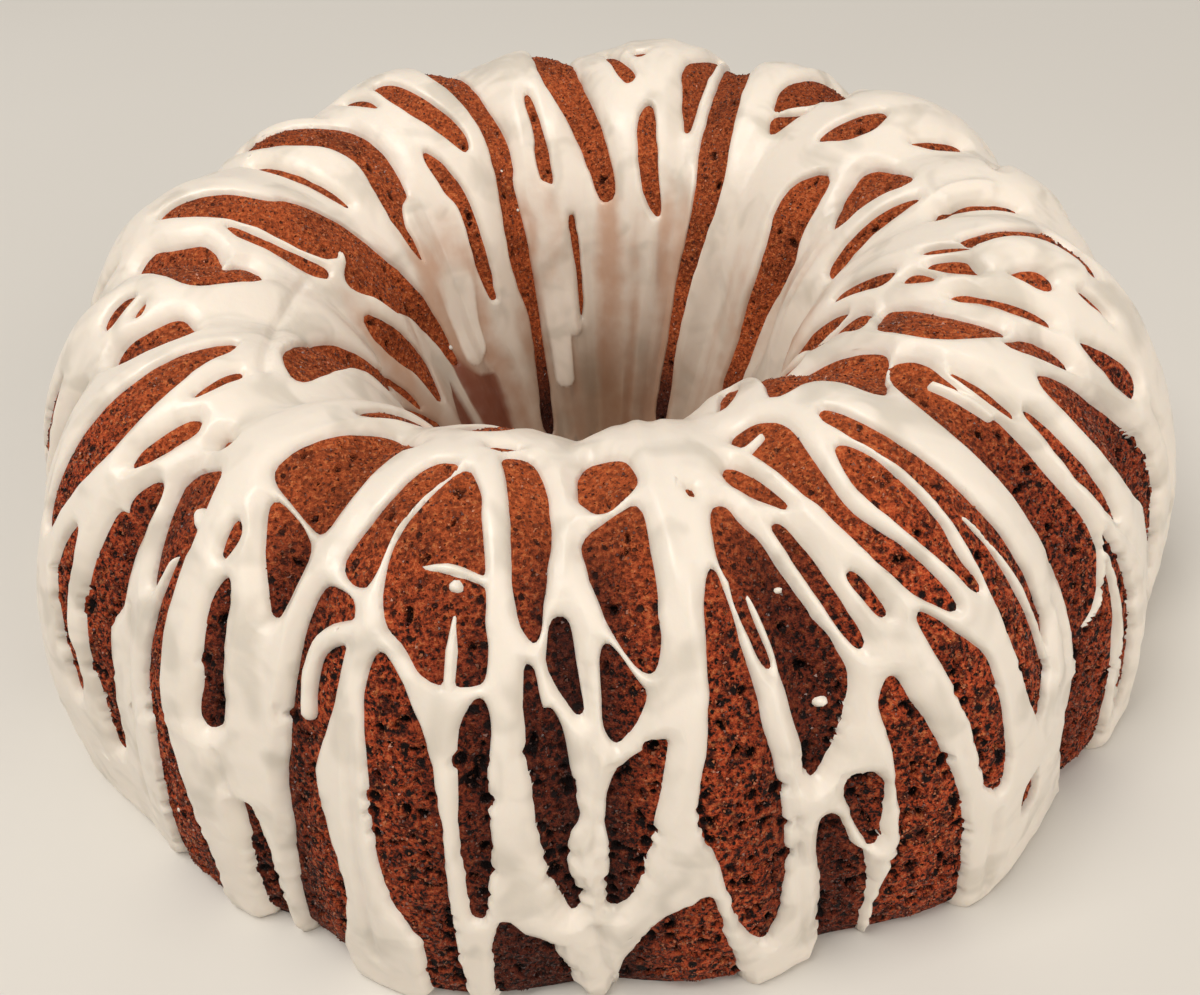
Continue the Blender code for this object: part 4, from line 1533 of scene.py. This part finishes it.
@dataclass
class CrumbGrains(Scatter):
    """Loose grains of crumb that stand on the bare crust and catch the light."""

    name: str = "crumb_grains"
    sizes: tuple[float, float] = (0.16 * MM, 0.42 * MM)
    density: float = 1_010_000.0
    bareness: tuple[float, float] = (0.35, 0.9)
    seed: int = 17

    def shape(self, tree: bpy.types.NodeTree, given: Any, points: bpy.types.Node,
              size: bpy.types.Node) -> bpy.types.Node:
        """Put a little pyramid on each point, turned, stretched and tinted at random.

        Args:
            tree: The bits' node tree.
            given: The tree's inputs, by name.
            points: The node that gives the points.
            size: The node that gives each bit's size.

        Returns:
            The node that gives the bits.
        """
        grain = add_node(tree, "GeometryNodeMeshCone", {
            "Vertices": 4, "Radius Top": 0.0, "Radius Bottom": 1.0, "Depth": 1.3})
        turn, stretch = (add_node(tree, "FunctionNodeRandomValue", {"Min": least, "Max": most},
                                  data_type="FLOAT_VECTOR")
                         for least, most in (((0.0, 0.0, 0.0), (6.28, 6.28, 6.28)),
                                             ((0.7, 0.7, 0.5), (1.3, 1.1, 0.9))))
        scale = add_node(tree, "ShaderNodeVectorMath", {0: stretch, "Scale": size}, operation="SCALE")
        placed = add_node(tree, "GeometryNodeInstanceOnPoints", {
            "Points": points, "Instance": grain, "Rotation": turn, "Scale": scale})
        tint = add_node(tree, "FunctionNodeRandomValue", {"Seed": given["Tint Seed"]}, data_type="FLOAT")
        tinted = add_node(tree, "ShaderNodeMath", {0: tint, 1: 2.0}, operation="POWER")
        return add_node(tree, "GeometryNodeStoreNamedAttribute", {
            "Geometry": placed, "Name": "shade", "Value": tinted}, data_type="FLOAT", domain="INSTANCE")


@dataclass
class IcingCoat:
    """The drizzled icing, one closed shell that follows the flutes and stops at ragged round edges."""

    form: CakeForm
    drizzle: Drizzle
    finish: bpy.types.Material
    skirt: float = -0.75  # millimetres: how far past its edge the shell runs on under the crust
    underside: float = 1.8 * MM  # below the crust's surface
    triangles: int = 190_000

    def build(self) -> bpy.types.Object:
        """Make the coat as one closed mesh.

        Returns:
            The coat's object.
        """
        form = self.form
        kept = self._kept_cells()
        cells = form.quads()
        top = form.place(form.azimuths, form.runs, self.drizzle.height).reshape(-1, 3)
        under = form.place(form.azimuths, form.runs, -self.underside).reshape(-1, 3)
        count = len(top)
        swell = np.clip(self.drizzle.height / self.drizzle.thickness, 0.0, 1.5)
        richness = np.maximum(self.drizzle.richness, np.clip(1.6 * self.drizzle.crown, 0.0, 0.9))
        # Traits: the icing's body, its thin veil, and painted shade deep in the hole
        traits = {"body": 0.8 * richness + 0.2 * swell, "veil": self.drizzle.veil,
                  "icing_hole_shade": self.drizzle.icing_hole_shade}
        outer = cells[kept]
        faces = [outer, outer[:, ::-1] + count]
        empty = np.zeros((1, form.columns), dtype=bool)
        sides = (
            (np.concatenate((empty, kept[:-1])), (0, 1)),
            (np.roll(kept, -1, axis=1), (1, 2)),
            (np.concatenate((kept[1:], empty)), (2, 3)),
            (np.roll(kept, 1, axis=1), (3, 0)),
        )
        for neighbour, (start, end) in sides:
            rim = cells[kept & ~neighbour]
            faces.append(np.stack((rim[:, end], rim[:, start], rim[:, start] + count,
                                   rim[:, end] + count), 1))
        used, renumbered = np.unique(np.concatenate(faces), return_inverse=True)
        points = np.concatenate((top, under))[used]
        coat = new_piece("drizzled_icing", mesh_from(
            "drizzled_icing", points, renumbered.reshape(-1, 4),
            {name: np.tile(values.ravel(), 2)[used] for name, values in traits.items()}))
        thin_out(coat, self.triangles)
        coat.data.materials.append(self.finish)
        return coat

    def _kept_cells(self) -> np.ndarray:
        """Choose the grid cells that the shell covers, with none that meet only at a corner.

        Returns:
            True for each cell that is covered.
        """
        inside = self.drizzle.edge > self.skirt
        beside = np.roll(inside, -1, axis=1)
        kept = inside[:-1] & beside[:-1] & inside[1:] & beside[1:]
        while True:
            right = np.roll(kept, -1, axis=1)
            crossed = kept[:-1] & right[1:] & ~right[:-1] & ~kept[1:]
            crossed_back = right[:-1] & kept[1:] & ~kept[:-1] & ~right[1:]
            if not (crossed.any() or crossed_back.any()):
                return kept
            kept[1:] |= crossed
            kept[:-1] |= crossed_back


@dataclass
class IcingDrops(Scatter):
    """Stray drops that fell from the spoon on to the bare crust."""

    name: str = "icing_drops"
    sizes: tuple[float, float] = (0.35 * MM, 0.8 * MM)
    density: float = 320.0
    bareness: tuple[float, float] = (0.0, 1.0)
    seed: int = 4

    def shape(self, tree: bpy.types.NodeTree, given: Any, points: bpy.types.Node,
              size: bpy.types.Node) -> bpy.types.Node:
        """Put a flattened, full-bodied drop on each point.

        Args:
            tree: The bits' node tree.
            given: The tree's inputs, by name.
            points: The node that gives the points.
            size: The node that gives each bit's size.

        Returns:
            The node that gives the bits.
        """
        drop = add_node(tree, "GeometryNodeMeshIcoSphere", {"Radius": 1.0, "Subdivisions": 3})
        flat = add_node(tree, "ShaderNodeVectorMath", {0: (1.0, 1.0, 0.6), "Scale": size},
                        operation="SCALE")
        placed = add_node(tree, "GeometryNodeInstanceOnPoints", {
            "Points": points, "Instance": drop, "Rotation": points.outputs["Rotation"], "Scale": flat})
        solid = add_node(tree, "GeometryNodeRealizeInstances", {"Geometry": placed})
        smooth = add_node(tree, "GeometryNodeSetShadeSmooth", {"Geometry": solid})
        return add_node(tree, "GeometryNodeStoreNamedAttribute", {
            "Geometry": smooth, "Name": "body", "Value": 1.0}, data_type="FLOAT", domain="POINT")


@dataclass(frozen=True)
class Lamp:
    """A soft square light that faces the cake."""

    name: str
    power: float  # watts
    size: float  # metres along a side
    place: tuple[float, float, float]
    colour: str

    def hang(self) -> None:
        """Put the light in the scene."""
        lamp = bpy.data.lights.new(self.name, "AREA")
        lamp.energy = self.power
        lamp.size = self.size
        lamp.color = linear(self.colour)[:3]
        holder = bpy.data.objects.new(self.name, lamp)
        holder.location = self.place
        holder.rotation_euler = (-Vector(self.place)).to_track_quat("-Z", "Y").to_euler()
        bpy.context.scene.collection.objects.link(holder)


@dataclass
class Studio:
    """A pale board, soft light from the upper left and the camera."""

    distance: float = 0.306284  # metres from the camera to the base's centre
    elevation: float = 42.762  # degrees
    pitch: float = 42.253  # degrees down
    yaw: float = -0.511
    roll: float = -4.873
    sideways: float = 0.00216
    lens: float = 36.0
    sensor: float = 36.0
    near_clip: float = 0.01
    board_size: float = 6.0
    room_colour: str = "#F4F0EB"
    room_strength: float = 0.36
    lamps: tuple[Lamp, ...] = (
        Lamp("key", 16.0, 0.8, (-0.5, -0.2, 1.45), "#FFFAF3"),
        Lamp("fill", 10.5, 1.2, (1.15, -0.95, 0.75), "#FFF8F0"),
    )

    def build(self) -> None:
        """Make the board, the lights, the surroundings and the camera."""
        bpy.context.scene.view_settings.view_transform = "Standard"  # keeps the finishes' own colours
        self._board()
        for lamp in self.lamps:
            lamp.hang()
        self._surroundings()
        self._camera()

    def _board(self) -> None:
        """Lay the pale board under the cake."""
        half = 0.5 * self.board_size
        corners = np.array([(-half, -half, 0.0), (half, -half, 0.0), (half, half, 0.0), (-half, half, 0.0)])
        board = new_piece("board", mesh_from("board", corners, np.array([(0, 1, 2, 3)]), {}))
        board.data.materials.append(PaleBacking().make())

    def _surroundings(self) -> None:
        """Fill the room with even pale light."""
        world = bpy.data.worlds.new("room")
        world.use_nodes = True
        background = world.node_tree.nodes["Background"]
        background.inputs["Color"].default_value = linear(self.room_colour)
        background.inputs["Strength"].default_value = self.room_strength
        bpy.context.scene.world = world

    def _camera(self) -> None:
        """Set up the camera."""
        up_angle, down = math.radians(self.elevation), math.radians(self.pitch)
        yaw, roll = math.radians(self.yaw), math.radians(self.roll)
        ahead = Vector((math.sin(yaw) * math.cos(down), math.cos(yaw) * math.cos(down), -math.sin(down)))
        level = Vector((math.cos(yaw), -math.sin(yaw), 0.0))
        above = level.cross(ahead)
        right = level * math.cos(roll) + above * math.sin(roll)
        above = above * math.cos(roll) - level * math.sin(roll)
        turn = Matrix((right, above, -ahead)).transposed()
        camera = bpy.data.objects.new("camera", bpy.data.cameras.new("camera"))
        camera.data.lens = self.lens
        camera.data.sensor_width = self.sensor
        camera.data.clip_start = self.near_clip
        camera.location = (self.sideways, -self.distance * math.cos(up_angle),
                           self.distance * math.sin(up_angle))
        camera.rotation_euler = turn.to_euler()
        bpy.context.scene.collection.objects.link(camera)
        bpy.context.scene.camera = camera


def hand_over(piece: bpy.types.Object, slot: Slot) -> None:
    """Ride a piece on the cake's body and log its triangles and slot.

    Args:
        piece: The finished piece.
        slot: The record's slot, logged with the piece's name.
    """
    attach(piece, "root")
    triangles = sum(len(face.vertices) - 2 for face in piece.data.polygons)
    log.info("%s: %d triangles, %s", piece.name, triangles, slot.value)


def main() -> None:
    """Build the cake's looks in order."""
    logging.basicConfig(level=logging.INFO, format="%(name)s: %(message)s")
    crumb, grain, icing = BakedCrumb().make(), MoistGrain().make(), SetIcing().make()
    form = CakeForm()
    drizzle = Drizzle(form)
    crust = Crust(form, drizzle, crumb).build()
    grains = CrumbGrains(crust, grain).build()
    drops = IcingDrops(crust, icing).build()
    coat = IcingCoat(form, drizzle, icing).build()
    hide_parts("cake")
    for piece, slot in ((crust, Slot.CRUMB), (grains, Slot.CRUMB), (coat, Slot.ICING), (drops, Slot.ICING)):
        hand_over(piece, slot)
    Studio().build()


if __name__ == "__main__":
    main()
